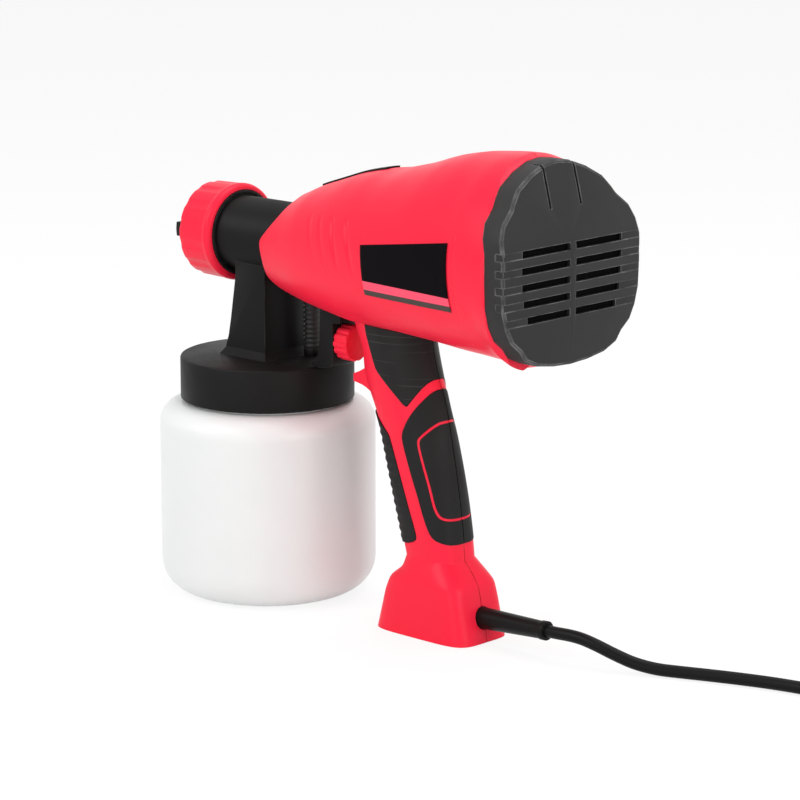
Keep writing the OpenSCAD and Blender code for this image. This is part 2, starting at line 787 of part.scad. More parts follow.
// Sweeps a tube along points p; each ring stands square to the path
module sweep(p, r, n) {
    m = len(p);
    rings = [for (i = [0 : m - 1])
        let (t = unit(p[min(i + 1, m - 1)] - p[max(i - 1, 0)]),
             side = unit(cross(t, [0, 0, 1])), up = cross(side, t))
        frame_ring(p[i], side, up, r, n)];
    points = [for (ring = rings) each ring];
    walls = [for (i = [0 : m - 2], k = [0 : n - 1]) each [
        [i * n + k, i * n + (k + 1) % n, (i + 1) * n + (k + 1) % n],
        [i * n + k, (i + 1) * n + (k + 1) % n, (i + 1) * n + k]]];
    start = [for (k = [1 : n - 2]) [0, k + 1, k]];
    end = [for (k = [1 : n - 2]) [(m - 1) * n, (m - 1) * n + k, (m - 1) * n + k + 1]];
    polyhedron(points, concat(walls, start, end), convexity = 8);
}

module needle_spring() {
    wire = spring_wire / 2;
    turns = [for (i = [0 : spring_turns * spring_steps])
        let (a = 360 * i / spring_steps)
        [spring_mid_r * cos(a), spring_mid_r * sin(a),
         wire + (spring_len - spring_wire) * i / (spring_turns * spring_steps)]];
    color([0.6, 0.6, 0.62]) along_x(spring_from) sweep(turns, wire, spring_sides);
}

spring_cap_r = 6.2;
module spring_cap() {
    color([0.06, 0.06, 0.065]) along_x(63.4) difference() {
        union() {
            cylinder(h = 12, r = spring_cap_r, $fn = 48);
            translate([0, 0, 9]) cylinder(h = 3, r = 9.6, $fn = 48);
        }
        translate([0, 0, -1]) cylinder(h = 10.4, r = spring_mid_r + spring_wire / 2 + 0.4, $fn = 48);
    }
}

// ---------------------------------------------------------------- cup and feed
module paint_cup() {
    inner = cup_r - cup_wall;
    c = cup_corner;
    ci = c - cup_wall;
    neck_in = neck_r - cup_wall;
    neck_top = lid_top - lid_wall - 2.4;
    shoulder = 12;
    low = lid_low - 1.2;
    color([0.92, 0.92, 0.90]) rotate_extrude($fn = 120) polygon(concat(
        [[0, 0], [cup_r - c, 0]],
        [for (a = [10 : 10 : 90]) [cup_r - c + c * sin(a), c - c * cos(a)]],
        [for (a = [0 : 15 : 75]) [cup_r - shoulder + shoulder * cos(a), low - 11 + 11 * sin(a)]],
        [[neck_r, low], [neck_r, neck_top], [neck_in, neck_top], [neck_in, low - 1]],
        [for (a = [75 : -15 : 0]) [inner - shoulder + shoulder * cos(a), low - 12.6 + 11 * sin(a)]],
        [for (a = [90 : -10 : 10]) [inner - ci + ci * sin(a), cup_wall + ci - ci * cos(a)]],
        [[0, cup_wall]]));
}

module lid_gasket() {
    color([0.2, 0.2, 0.2]) translate([0, 0, lid_top - lid_wall - 2.1]) difference() {
        cylinder(h = 1.6, r = neck_r + 0.4, $fn = 96);
        translate([0, 0, -1]) cylinder(h = 4, r = neck_r - cup_wall - 1.4, $fn = 96);
    }
}

dip_bend_z = 44;
dip_end = [-27, 0, 12];
module dip_tube() {
    lean = dip_end - [0, 0, dip_bend_z];
    reach = norm(lean);
    tilt = atan2(-lean[0], -lean[2]);
    color([0.9, 0.9, 0.88]) difference() {
        union() {
            translate([0, 0, dip_bend_z]) cylinder(h = lid_top - 3.4 - dip_bend_z, r = dip_r, $fn = 32);
            translate([0, 0, dip_bend_z]) sphere(r = dip_r, $fn = 32);
            translate([0, 0, dip_bend_z]) rotate([0, 180 + tilt, 0]) cylinder(h = reach, r = dip_r, $fn = 32);
        }
        translate([0, 0, dip_bend_z]) cylinder(h = 90, r = dip_r - 1, $fn = 24);
        translate([0, 0, dip_bend_z]) rotate([0, 180 + tilt, 0])
            translate([0, 0, -1]) cylinder(h = reach + 5, r = dip_r - 1, $fn = 24);
    }
}

module strainer() {
    lean = dip_end - [0, 0, dip_bend_z];
    reach = norm(lean);
    tilt = atan2(-lean[0], -lean[2]);
    color([0.75, 0.75, 0.72]) translate([0, 0, dip_bend_z]) rotate([0, 180 + tilt, 0])
        translate([0, 0, reach - 7]) difference() {
            cylinder(h = 10, r = dip_r + 1.6, $fn = 40);
            translate([0, 0, -1]) cylinder(h = 9, r = dip_r + run, $fn = 32);
            for (i = [0 : 5]) rotate([0, 0, i * 60]) translate([2.6, 0, 6]) cylinder(h = 6, r = 0.7, $fn = 16);
        }
}

valve_stem_r = 2.4;
valve_r = 4.4;
valve_h = 3.4;
module check_valve() {
    color([0.10, 0.10, 0.11]) translate([hose_x, hose_y, 0]) difference() {
        union() {
            translate([0, 0, lid_top - 5]) cylinder(h = 6, r = valve_stem_r, $fn = 24);
            translate([0, 0, lid_top + 0.1]) cylinder(h = valve_h, r = valve_r, $fn = 32);
            translate([0, 0, lid_top + valve_h]) cylinder(h = 7, r = hose_bore - run, $fn = 24);
        }
        translate([0, 0, lid_top - 8]) cylinder(h = 30, r = 1.1, $fn = 20);
    }
}

module air_hose() {
    from = lid_top + valve_h + 0.2;
    color([0.05, 0.05, 0.055]) translate([hose_x, hose_y, from]) difference() {
        cylinder(h = hose_top - from - 0.1, r = hose_r, $fn = 40);
        translate([0, 0, -1]) cylinder(h = 80, r = hose_bore, $fn = 24);
    }
}

// ---------------------------------------------------------------- trigger
trigger_view = [[47.6, 200], [46.9, 176], [46.3, 150], [45.8, 136], [45.4, 130], [43.6, 127],
    [39.4, 124.4], [38.9, 123.6], [40, 123], [45.2, 122.4], [51.3, 123.1], [54.2, 124.4],
    [55.2, 126.4], [55.2, 146.2], [60.4, 146.6], [60.4, 157], [57, 163], [57, 200]];
trigger_boss = 4.8;

module trigger() {
    color([0.05, 0.05, 0.055]) difference() {
        union() {
            side_view(trigger_view, trigger_half);
            translate([pivot_x, trigger_half, pivot_z]) rotate([90, 0, 0])
                cylinder(h = 2 * trigger_half, r = trigger_boss, $fn = 48);
        }
        translate([pivot_x, far / 2, pivot_z]) rotate([90, 0, 0])
            cylinder(h = far, r = pivot_r + run, $fn = 40);
        translate([30, -needle_r - 0.6, axis_z - 8]) cube([50, 2 * needle_r + 1.2, 13]);
        along_x(knob_front - 8.6, knob_z) cylinder(h = 30, r = screw_r + run, $fn = 40);
    }
}

module trigger_pin() {
    color([0.7, 0.71, 0.73]) translate([pivot_x, pin_half, pivot_z]) rotate([90, 0, 0])
        cylinder(h = 2 * pin_half, r = pivot_r, $fn = 40);
}

knob_flutes = 14;
module flow_knob() {
    color([0.86, 0.10, 0.17]) difference() {
        along_x(knob_front, knob_z) union() {
            cylinder(h = knob_len - 0.8, r = knob_r, $fn = 70);
            translate([0, 0, knob_len - 0.8]) cylinder(h = 0.8, r1 = knob_r, r2 = knob_r - 0.8, $fn = 70);
        }
        along_x(knob_front - 1, knob_z) cylinder(h = 7.4, r = screw_r + run, $fn = 40);
        for (i = [0 : knob_flutes - 1]) along_x(knob_front - 1, knob_z)
            rotate([0, 0, i * 360 / knob_flutes]) translate([knob_r + 0.7, 0, 0])
                cylinder(h = knob_len + 2, r = 1.3, $fn = 24);
    }
}

module knob_screw() {
    color([0.7, 0.71, 0.73]) along_x(knob_front - 8, knob_z) cylinder(h = 14, r = screw_r, $fn = 40);
}

// ---------------------------------------------------------------- motor
core_x = [104, 132];
module on_motor(x) { translate([x, 0, motor_z]) rotate([0, 90, 0]) children(); }

module field_stack() {
    color([0.45, 0.46, 0.48]) on_motor(core_x[0]) difference() {
        intersection() {
            cylinder(h = core_x[1] - core_x[0], r = stator_r, $fn = 72);
            translate([-stator_r + 2.5, -stator_r, -1]) cube([2 * stator_r - 5, 2 * stator_r, 60]);
        }
        translate([0, 0, -1]) cylinder(h = 60, r = armature_r + 0.6, $fn = 72);
        for (a = [45 : 90 : 315]) rotate([0, 0, a])
            translate([armature_r, -4.2, -1]) cube([6, 8.4, 60]);
    }
}

module field_coils() {
    color([0.62, 0.30, 0.12]) for (side = [0, 180]) on_motor(core_x[0]) rotate([0, 0, side]) {
        for (z = [-6, core_x[1] - core_x[0] + 0.1]) translate([0, 0, z]) rotate([0, 0, -51])
            rotate_extrude(angle = 102, $fn = 72)
            translate([armature_r + 1.2, 0]) square([4.4, 5.9]);
        for (a = [-45, 45]) rotate([0, 0, a])
            translate([armature_r + 1.2, -3.4, -0.2]) cube([4.4, 6.8, core_x[1] - core_x[0] + 0.4]);
    }
}

module armature() {
    color([0.40, 0.38, 0.36]) on_motor(core_x[0]) difference() {
        union() {
            cylinder(h = core_x[1] - core_x[0], r = armature_r, $fn = 72);
            translate([0, 0, -5]) cylinder(h = core_x[1] - core_x[0] + 10, r = armature_r - 3, $fn = 48);
        }
        translate([0, 0, -10]) cylinder(h = 60, r = shaft_r + run, $fn = 32);
        for (i = [0 : 11]) rotate([0, 0, i * 30]) translate([armature_r - 1.6, -0.8, -1])
            cube([4, 1.6, core_x[1] - core_x[0] + 2]);
    }
}

shaft_x = [83, 178.5];
module motor_shaft() {
    color([0.75, 0.76, 0.78]) on_motor(shaft_x[0])
        cylinder(h = shaft_x[1] - shaft_x[0], r = shaft_r, $fn = 40);
}

commutator_x = 90;
commutator_r = 9;
module commutator() {
    color([0.72, 0.45, 0.20]) on_motor(commutator_x) difference() {
        cylinder(h = 8, r = commutator_r, $fn = 48);
        translate([0, 0, -1]) cylinder(h = 12, r = shaft_r + run, $fn = 32);
        for (i = [0 : 11]) rotate([0, 0, i * 30]) translate([commutator_r - 0.8, -0.3, -1])
            cube([2, 0.6, 10]);
    }
}

brush_w = 5;
module carbon_brushes() {
    color([0.16, 0.16, 0.17]) for (side = [-1, 1])
        translate([commutator_x + 1.5, side > 0 ? commutator_r + gap : -commutator_r - 12 - gap,
            motor_z - brush_w / 2]) cube([brush_w, 12, brush_w]);
}

module brush_holders() {
    wall = 0.8;
    color([0.75, 0.62, 0.30]) for (side = [-1, 1]) difference() {
        translate([commutator_x + 1.5 - wall, side > 0 ? commutator_r + 2 : -bracket_r + 2.4,
            motor_z - brush_w / 2 - wall])
            cube([brush_w + 2 * wall, bracket_r - 4.4 - commutator_r, brush_w + 2 * wall]);
        translate([commutator_x + 1.5 - run, side > 0 ? commutator_r : -commutator_r - 12.4,
            motor_z - brush_w / 2 - run]) cube([brush_w + 2 * run, 12.4, brush_w + 2 * run]);
    }
}

module bearing(x, outer, w) {
    color([0.70, 0.71, 0.73]) on_motor(x) difference() {
        cylinder(h = w, r = outer, $fn = 48);
        translate([0, 0, -1]) cylinder(h = w + 2, r = shaft_r + run, $fn = 32);
        translate([0, 0, w - 0.5]) difference() {
            cylinder(h = 2, r = outer - 1.6, $fn = 48);
            translate([0, 0, -1]) cylinder(h = 4, r = shaft_r + 1.4, $fn = 48);
        }
    }
}
front_bearing_r = 8;
rear_bearing_r = 11;
module front_bearing() { bearing(84.7, front_bearing_r, 5); }
module rear_bearing() { bearing(143, rear_bearing_r, 6); }

bracket_from = 82.4;
bracket_to = 103.9;
module motor_bracket() {
    color([0.10, 0.10, 0.11]) on_motor(bracket_from) difference() {
        union() {
            difference() {
                cylinder(h = bracket_to - bracket_from, r = bracket_r, $fn = 72);
                translate([0, 0, 2.2]) cylinder(h = 60, r = bracket_r - 2, $fn = 72);
            }
            cylinder(h = 6, r = front_bearing_r + 2, $fn = 48);
        }
        translate([0, 0, 2.2]) cylinder(h = 8, r = front_bearing_r + run, $fn = 48);
        translate([0, 0, -1]) cylinder(h = 5, r = front_bearing_r - 2, $fn = 48);
        for (i = [0 : 5]) rotate([0, 0, i * 60]) translate([19, 0, -1]) cylinder(h = 5, r = 5, $fn = 32);
    }
}

plate_x = 137;
module bearing_plate() {
    color([0.10, 0.10, 0.11]) on_motor(plate_x) difference() {
        union() {
            translate([0, 0, 5.2]) cylinder(h = 8.6, r = rear_bearing_r + 2.4, $fn = 48);
            translate([0, 0, 9.8]) cylinder(h = 3, r = stator_r + 4, $fn = 72);
            difference() {
                translate([0, 0, -4.8]) cylinder(h = 15, r = stator_r + 1.4, $fn = 72);
                translate([0, 0, -6]) cylinder(h = 18, r = stator_r - 0.9, $fn = 72);
            }
        }
        translate([0, 0, -6]) cylinder(h = 18.1, r = rear_bearing_r + run, $fn = 48);
        translate([0, 0, 0]) cylinder(h = 40, r = shaft_r + 1.5, $fn = 32);
        for (i = [0 : 7]) rotate([0, 0, i * 45]) translate([20, 0, 5]) cylinder(h = 20, r = 4.4, $fn = 32);
        translate([0, 0, -20]) cylinder(h = 15.3, r = stator_r + 3, $fn = 72);
    }
}

fan_x = [157, 177];
fan_eye_r = 19;
module impeller() {
    color([0.85, 0.86, 0.88]) on_motor(fan_x[0]) difference() {
        union() {
            cylinder(h = 1.6, r = fan_r, $fn = 72);
            cylinder(h = 18, r = 7, $fn = 48);
            translate([0, 0, 18.4]) difference() {
                cylinder(h = 1.6, r = fan_r, $fn = 72);
                translate([0, 0, -1]) cylinder(h = 4, r = fan_eye_r, $fn = 72);
            }
            for (i = [0 : fan_blades - 1]) rotate([0, 0, i * 360 / fan_blades])
                linear_extrude(19) polygon(concat(
                    [for (t = [0 : 0.25 : 1]) blade_point(t, 0)],
                    [for (t = [1 : -0.25 : 0]) blade_point(t, 1.2)]));
        }
        translate([0, 0, -1]) cylinder(h = 40, r = shaft_r + run, $fn = 32);
    }
}
function blade_point(t, w) = let (r = 13 + (fan_r - 14) * t, a = 38 * t)
    [r * cos(a) - w * sin(a), r * sin(a) + w * cos(a)];

fan_case_x = [150, 182];
module fan_housing() {
    plate = 2.2;
    len = fan_case_x[1] - fan_case_x[0];
    color([0.10, 0.10, 0.11]) on_motor(fan_case_x[0]) difference() {
        cylinder(h = len, r = fan_case_r, $fn = 84);
        translate([0, 0, plate]) cylinder(h = len - 2 * plate, r = fan_r + fan_gap, $fn = 84);
        translate([0, 0, -1]) cylinder(h = plate + 2, r = stator_r + 2, $fn = 72);
        translate([0, 0, len - plate - 1]) cylinder(h = plate + 2, r = fan_eye_r - 1, $fn = 72);
    }
}

// ---------------------------------------------------------------- electrics
switch_low = 157.6;
module switch_body() {
    color([0.08, 0.08, 0.09]) difference() {
        translate([66, -7, switch_low]) cube([15.8, 14, 14]);
        along_x(60, plunger_z) cylinder(h = 14.6, r = plunger_r + run, $fn = 32);
    }
}
plunger_z = 166;
plunger_r = 2;
module switch_plunger() {
    color([0.80, 0.10, 0.10]) along_x(57.4, plunger_z) cylinder(h = 12, r = plunger_r, $fn = 32);
}

capacitor_size = [18, 10, 11];
module capacitor() {
    color([0.75, 0.70, 0.25])
        translate([core_x[0], -capacitor_size[1] / 2, motor_z - bracket_r - 0.8 - capacitor_size[2]])
        cube(capacitor_size);
}

module lead_inside() {
    color([0.05, 0.05, 0.055]) lead_frame() translate([0, 0, -34])
        cylinder(h = 34 + relief_len + 2, r = lead_d / 2, $fn = 32);
}

module cable_clamp() {
    color([0.10, 0.10, 0.11]) difference() {
        lead_frame() translate([-5, -10, -30]) cube([12.7, 20, 9]);
        lead_frame() translate([0, 0, -40]) cylinder(h = 60, r = lead_d / 2 + run, $fn = 32);
    }
}

module strain_relief() {
    color([0.05, 0.05, 0.055]) lead_frame() difference() {
        union() {
            translate([0, 0, -4]) cylinder(h = 2.4, r = relief_r + 2.4, $fn = 48);
            translate([0, 0, -4]) cylinder(h = 6, r = relief_r, $fn = 48);
            translate([0, 0, 2]) cylinder(h = relief_len - 3, r1 = relief_r, r2 = 4.3, $fn = 48);
            translate([0, 0, relief_len - 1.2]) cylinder(h = 3.2, r = 4.7, $fn = 48);
        }
        translate([0, 0, -20]) cylinder(h = 90, r = lead_d / 2 + run, $fn = 32);
    }
}

// ---------------------------------------------------------------- mains lead
// Points of the lead from the strain relief to the coil, chosen by hand
lead_route = [[189.1, 0, 13.4], [195, 0, 13.6], [202, 0.6, 13.8], [209, 1.8, 13.2],
    [217, 3.4, 11.2], [226, 6, 8], [235, 9.4, 5], [245, 13.6, 3.3], [256, 18.4, 3],
    [268, 23.4, 3], [282, 28.8, 3], [298, 34, 3], [316, 38, 3], [336, 40.6, 3],
    [358, 41.8, 3], [380, 42, 3], [403.9, 42, 3]];
lead_sides = 10;

// The coil: turns that spiral in, climb a layer in a half turn, and spiral out
coil_centre = [410, -4.8];
coil_outer = 46.8;
coil_pitch = lead_d + 0.5;
coil_turns = 7;
coil_steps = 24;
coil_sides = 6;
coil_tail = 28;

function coil_radius(turn) = coil_outer - coil_pitch * min(turn, coil_turns - turn);
function coil_climb(turn) = let (t = (turn - coil_turns / 2) * 2 + 0.5)
    lead_d / 2 + coil_pitch * (t <= 0 ? 0 : t >= 1 ? 1 : (1 - cos(180 * t)) / 2);
function coil_point(turn) = [
    coil_centre[0] + coil_radius(turn) * sin(360 * turn),
    coil_centre[1] + coil_radius(turn) * cos(360 * turn), coil_climb(turn)];
coil_start = [coil_centre[0], coil_centre[1] + coil_outer, lead_d / 2];
coil_end = coil_point(coil_turns);
coil_run = concat([coil_start - [lead_d, 0, 0], coil_start],
    [for (i = [1 : coil_turns * coil_steps - 1]) coil_point(i / coil_steps)],
    [coil_end, coil_end + [lead_d, 0, 0], coil_end + [coil_tail, 0, 0]]);

// Least distance between two pieces of the coil that aren't neighbours
function coil_gap() = min([for (i = [0 : len(coil_run) - 1], j = [i + 8 : len(coil_run) - 1])
    if (j < len(coil_run)) norm(coil_run[i] - coil_run[j])]) - lead_d;
echo(coil_gap = coil_gap());

module power_cord() {
    color([0.05, 0.05, 0.055]) sweep(lead_route, lead_d / 2, lead_sides);
}

module cord_coil() {
    color([0.05, 0.05, 0.055]) sweep(coil_run, lead_d / 2, coil_sides);
}

plug_tail = 24;
plug_tail_r = [4.2, 6.4];
plug_len = 34;
plug_half = 18.4;
plug_thick = 19;
plug_face = plug_tail + plug_len - 0.5;
pin_r = 2.4;
pin_len = 19;
pin_spacing = 18.6;
pin_root_r = 1.7;   // where the plug is moulded round the pin
pin_root_len = 7;
pin_tip = 1.4;
module at_plug() { translate(coil_end + [coil_tail + 0.1, 0, 0]) children(); }

module plug_body() {
    half = plug_thick / 2;
    color([0.05, 0.05, 0.055]) at_plug() difference() {
        union() {
            rotate([0, 90, 0]) cylinder(h = plug_tail, r1 = plug_tail_r[0], r2 = plug_tail_r[1], $fn = 40);
            translate([plug_tail - 0.5, 0, -half]) linear_extrude(plug_thick) polygon([
                [0, -10], [4, -14], [12, -16.4], [24, -plug_half], [plug_len, -plug_half],
                [plug_len, plug_half], [24, plug_half], [12, 16.4], [4, 14], [0, 10]]);
        }
        for (side = [-1, 1]) translate([plug_face - pin_root_len - gap, side * pin_spacing / 2, 0])
            rotate([0, 90, 0]) cylinder(h = 2 * pin_root_len, r = pin_root_r + run, $fn = 32);
    }
}

module plug_pins() {
    color([0.78, 0.79, 0.80]) at_plug() for (side = [-1, 1])
        translate([plug_face, side * pin_spacing / 2, 0]) rotate([0, 90, 0]) {
            translate([0, 0, -pin_root_len]) cylinder(h = pin_root_len + 1, r = pin_root_r, $fn = 32);
            translate([0, 0, gap]) cylinder(h = pin_len - pin_tip - gap, r = pin_r, $fn = 32);
            translate([0, 0, pin_len - pin_tip]) cylinder(h = pin_tip, r1 = pin_r, r2 = 1.4, $fn = 32);
        }
}

housing_left();
housing_right();
rear_cover();
top_insert();
upper_panel_left();
upper_panel_right();
rear_grip_left();
rear_grip_right();
front_grip_left();
front_grip_right();
label_plate();
housing_screws();
spray_head();
ring_nut();
air_cap();
cap_seal();
fluid_nozzle();
needle();
needle_packing();
needle_spring();
spring_cap();
lid_gasket();
dip_tube();
strainer();
paint_cup();
air_hose();
check_valve();
trigger();
trigger_pin();
flow_knob();
knob_screw();
field_stack();
field_coils();
armature();
motor_shaft();
commutator();
brush_holders();
carbon_brushes();
front_bearing();
rear_bearing();
motor_bracket();
bearing_plate();
impeller();
fan_housing();
air_filter();
switch_body();
switch_plunger();
capacitor();
cable_clamp();
lead_inside();
strain_relief();
power_cord();
cord_coil();
plug_body();
plug_pins();
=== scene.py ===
"""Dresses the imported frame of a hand-held electric paint sprayer.

Laid out as an add-on: each piece or group of pieces has an operator, and
main() runs them in order. Sizes in this file are in millimetres unless a
comment says otherwise; the scene and its settings are in metres.
"""
import json
import math

import bmesh
import bpy
import numpy as np
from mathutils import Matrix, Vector


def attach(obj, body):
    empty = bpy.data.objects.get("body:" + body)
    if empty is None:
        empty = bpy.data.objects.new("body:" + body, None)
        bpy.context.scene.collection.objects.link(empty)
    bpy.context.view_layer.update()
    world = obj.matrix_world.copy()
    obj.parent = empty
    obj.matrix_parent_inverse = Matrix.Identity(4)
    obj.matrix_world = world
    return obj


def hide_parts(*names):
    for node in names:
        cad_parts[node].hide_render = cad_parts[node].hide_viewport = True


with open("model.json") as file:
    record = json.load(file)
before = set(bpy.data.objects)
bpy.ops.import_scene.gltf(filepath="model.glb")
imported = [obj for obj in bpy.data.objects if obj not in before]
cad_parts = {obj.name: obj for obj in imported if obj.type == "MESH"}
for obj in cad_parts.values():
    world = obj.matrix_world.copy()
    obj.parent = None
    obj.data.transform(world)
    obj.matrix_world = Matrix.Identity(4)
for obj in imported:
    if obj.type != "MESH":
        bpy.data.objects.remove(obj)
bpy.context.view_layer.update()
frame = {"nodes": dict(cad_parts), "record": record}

bl_info = {
    "name": "Paint sprayer",
    "version": (1, 0, 0),
    "blender": (4, 5, 0),
    "location": "View3D > Sidebar > Sprayer",
    "description": "Dresses the frame of an electric paint sprayer",
    "category": "Object",
}

MM = 0.001
NODES = frame["nodes"]
FAR = 400.0  # reaches past the sprayer on every side

# Camera, in metres and degrees
CAMERA_PLACE = (1.1485, -1.1258, 0.4541)
CAMERA_TILT = 77.492
CAMERA_TURN = 43.167
CAMERA_LENS = 145.07
CAMERA_SENSOR = 36.0
CAMERA_CLIP = (0.05, 50.0)

# Softboxes, each with its place, its size in metres and its power in watts
LIGHT_AIM = (0.08, 0.0, 0.12)
LIGHTS = {
    "key": ((-0.5, -1.5, 1.3), 1.0, 14),
    "fill": ((1.6, -0.2, 0.6), 0.9, 9),
    "top": ((0.2, 0.3, 1.6), 1.0, 11),
    "low": ((0.4, -1.5, 0.15), 0.5, 2),
}
# How strongly the surroundings light the object, how strong the floor's own
# glow is and how much of the floor's white comes from it
SURROUND_LIGHT = 0.50
FLOOR_LIGHT = 1.05
FLOOR_GLOW = 0.80
FLOOR_HALF = 9000.0
FLOOR_DROP = 0.3

# Colours, linear
RED = (0.92, 0.018, 0.052, 1.0)
BLACK = (0.0085, 0.008, 0.008, 1.0)
CHARCOAL = (0.026, 0.025, 0.025, 1.0)
PAD_BLACK = (0.012, 0.0115, 0.0115, 1.0)
# The cup's colour is a little cool, painted in to offset the red light that the housing throws on
# it
MILK = (0.895, 0.915, 0.91, 1.0)
STEEL = (0.60, 0.61, 0.63, 1.0)
BRASS = (0.58, 0.40, 0.14, 1.0)
COPPER = (0.60, 0.25, 0.10, 1.0)
CORE_GREY = (0.16, 0.16, 0.17, 1.0)
CARBON_GREY = (0.03, 0.03, 0.032, 1.0)
INNER_BLACK = (0.02, 0.02, 0.021, 1.0)
FAN_GREY = (0.55, 0.56, 0.57, 1.0)
FOAM_BLACK = (0.003, 0.003, 0.003, 1.0)
CASE_YELLOW = (0.5, 0.38, 0.05, 1.0)
SEAL_BLACK = (0.02, 0.02, 0.02, 1.0)
LEAD_BLACK = (0.006, 0.006, 0.006, 1.0)
TUBE_GREY = (0.72, 0.73, 0.72, 1.0)
STREAK_GREY = (0.085, 0.08, 0.078, 1.0)
PLATE_BLACK = (0.006, 0.005, 0.006, 1.0)
PAPER = (0.9, 0.9, 0.9, 1.0)
WHITE = (1.0, 1.0, 1.0, 1.0)
# The plate's stripes, each painted up to its left and right height as shares
# of the plate's
STRIPES = [
    (0.290, 0.206, (0.98, 0.10, 0.17, 1.0)), (0.114, 0.088, (0.080, 0.066, 0.060, 1.0)),
]
# Put before a material's name, so that it isn't one of the frame's own
FINISH = "finish_"
# The mix node's sockets for colours, which share their names with its others
MIX_FACTOR = 0
MIX_FIRST = 6
MIX_SECOND = 7
MIX_RESULT = 2

# The housing's sections across X: x, half width, top, bottom, height of the
# widest line, exponent of the upper curve, exponent of the lower curve
BODY_REAR = 191.0
BODY_SECTIONS = [
    (12, 20.6, 203.6, 161.0, 182.6, 2.0, 2.0),
    (20, 22.2, 204.4, 156.8, 183.0, 2.0, 2.1),
    (34, 26.4, 209.0, 154.0, 184.2, 2.0, 2.2),
    (46, 29.8, 214.2, 152.2, 185.4, 2.1, 2.3),
    (60, 33.0, 218.6, 150.2, 186.4, 2.1, 2.3),
    (74, 35.8, 223.2, 148.6, 187.4, 2.1, 2.4),
    (87, 38.0, 226.0, 148.6, 188.4, 2.1, 2.4),
    (99, 39.8, 227.4, 148.6, 189.2, 2.1, 2.5),
    (119, 42.4, 232.2, 147.9, 190.6, 2.1, 2.5),
    (135, 44.2, 237.4, 146.8, 191.6, 2.1, 2.4),
    (150, 45.8, 240.2, 145.4, 192.6, 2.05, 2.35),
    (166, 47.2, 241.6, 144.4, 193.6, 2.0, 2.25),
    (169, 48.4, 241.9, 144.2, 193.8, 2.0, 2.25),
    (181, 49.6, 242.2, 143.4, 194.4, 1.85, 2.2),
    (BODY_REAR, 50.2, 241.0, 141.9, 195.0, 1.72, 2.7),
]

# Sections across Z: z, front x, rear x, half width, front exponent, rear
# exponent
FOOT_TOP = (38, 103.8, 135.9, 13.4, 3.0, 3.0)
HANDLE_SECTIONS = [
    FOOT_TOP,
    (50, 101.2, 134.7, 14.4, 3.0, 2.6),
    (66.5, 96.7, 132.5, 15.0, 3.0, 2.3),
    (82, 91.9, 129.8, 15.1, 2.8, 2.1),
    (98, 87.0, 126.5, 15.1, 2.6, 1.9),
    (108, 83.0, 124.5, 15.2, 2.6, 1.6),
    (117, 78.6, 122.0, 15.4, 2.6, 1.6),
    (125, 75.0, 118.6, 15.8, 2.6, 1.7),
    (138, 75.0, 114.6, 16.0, 2.6, 1.7),
    (148, 69.6, 113.4, 16.4, 2.6, 1.6),
    (160, 65.0, 113.0, 17.0, 2.6, 1.5),
]
FOOT_SECTIONS = [
    (0, 89.6, 150.8, 19.2, 5.0, 5.0),
    (20, 94.6, 146.2, 18.2, 5.0, 5.0),
    (27, 97.0, 144.8, 17.6, 4.5, 4.5),
    (32, 102.8, 141.4, 15.8, 3.4, 3.4),
    FOOT_TOP,
]
# How far the bends between sections are eased
BODY_BLUR = 3.0
HANDLE_BLUR = 4.0
FOOT_BLUR = 1.0
# The wall, half the gap and the groove's depth at the middle seam, and where the
# hollow starts
SHELL = 2.4
SEAM_GAP = 0.02
SEAM_DEPTH = 1.1
CAVITY_FROM = 46
# The pads' pockets, how far the pads stand proud, what is left under them,
# and how far the pockets and the pads stop short of the body
PAD_DEPTH = 2.0
PAD_PROUD = 0.3
PAD_SEAT = 0.1
POCKET_CLEAR = 0.2
PAD_CLEAR = 0.35

# Pressed creases on each side of the housing: place along X at their head,
# depth, half length along X
CREASES = [(59.5, 0.25, 1.5), (68.5, 0.35, 1.4), (78.6, 1.1, 1.3), (90.2, 1.1, 1.2)]
CREASE_Z = (179.0, 205.0)
CREASE_FADE = (20.0, 3.0)
CREASE_RAKE = 0.34
CREASE_STEP = 0.5
# The step in front of the flared rear end: place along X, depth, how far it
# fades forward, lowest and highest place, how far it fades there
FLARE_X = 170.5
FLARE_DEPTH = 0.8
FLARE_FADE = 5.0
FLARE_Z = (165.0, 208.0)
FLARE_EASE = 4.0

# Side views of the housing, as x, z
NOSE_VIEW = [
    (-60, FAR), (34.4, FAR), (34.4, 206.4), (32.2, 203.8), (28.6, 197.6),
    (23.8, 192.2), (19, 187.2), (17.3, 185.2), (16.8, 183), (17.4, 179),
    (18, 175), (17.6, 170), (16.4, 165), (16, 160), (16, 100), (-60, 100),
]
SPUR_VIEW = [
    (60.6, 119.6), (62, 121.2), (67, 122.4), (72, 124.4), (78, 128),
    (86, 112), (80.5, 114.5), (75, 117.4), (68, 118.8), (61.5, 118.4),
]
SPUR_HALF = 7.0
SPUR_CLEAR = 1.0
UPPER_PANEL_VIEW = [
    (84, 165), (84.1, 148), (86.4, 140.6), (89.1, 133.6), (91.2, 128.8),
    (97, 123.8), (103.6, 117.8), (109.2, 112.2), (111.5, 116), (113.8, 119.9),
    (116.4, 124.4), (118.4, 126.4), (140, 127), (140, 165),
]
REAR_GRIP_VIEW = [
    (107.4, 98.8), (110.5, 106.9), (113.2, 112), (116.5, 117.1), (118.8, 120.6),
    (121, 122), (150, 122.4), (150, 46), (135, 46.4), (130.4, 48), (127, 49.6),
    (124.7, 52.4), (121.8, 58.9), (118.2, 69.3), (113.6, 80.6), (109.4, 91.8),
]
GRIP_LINE_VIEW = [
    (116, 97.7), (118.2, 100.6), (121, 104), (124, 107), (150, 108.6),
    (150, 58), (133.6, 58.2), (131, 58.8), (128.6, 60.3), (126.3, 64.5),
    (123.2, 75), (119.5, 85.4), (116.6, 93.9),
]
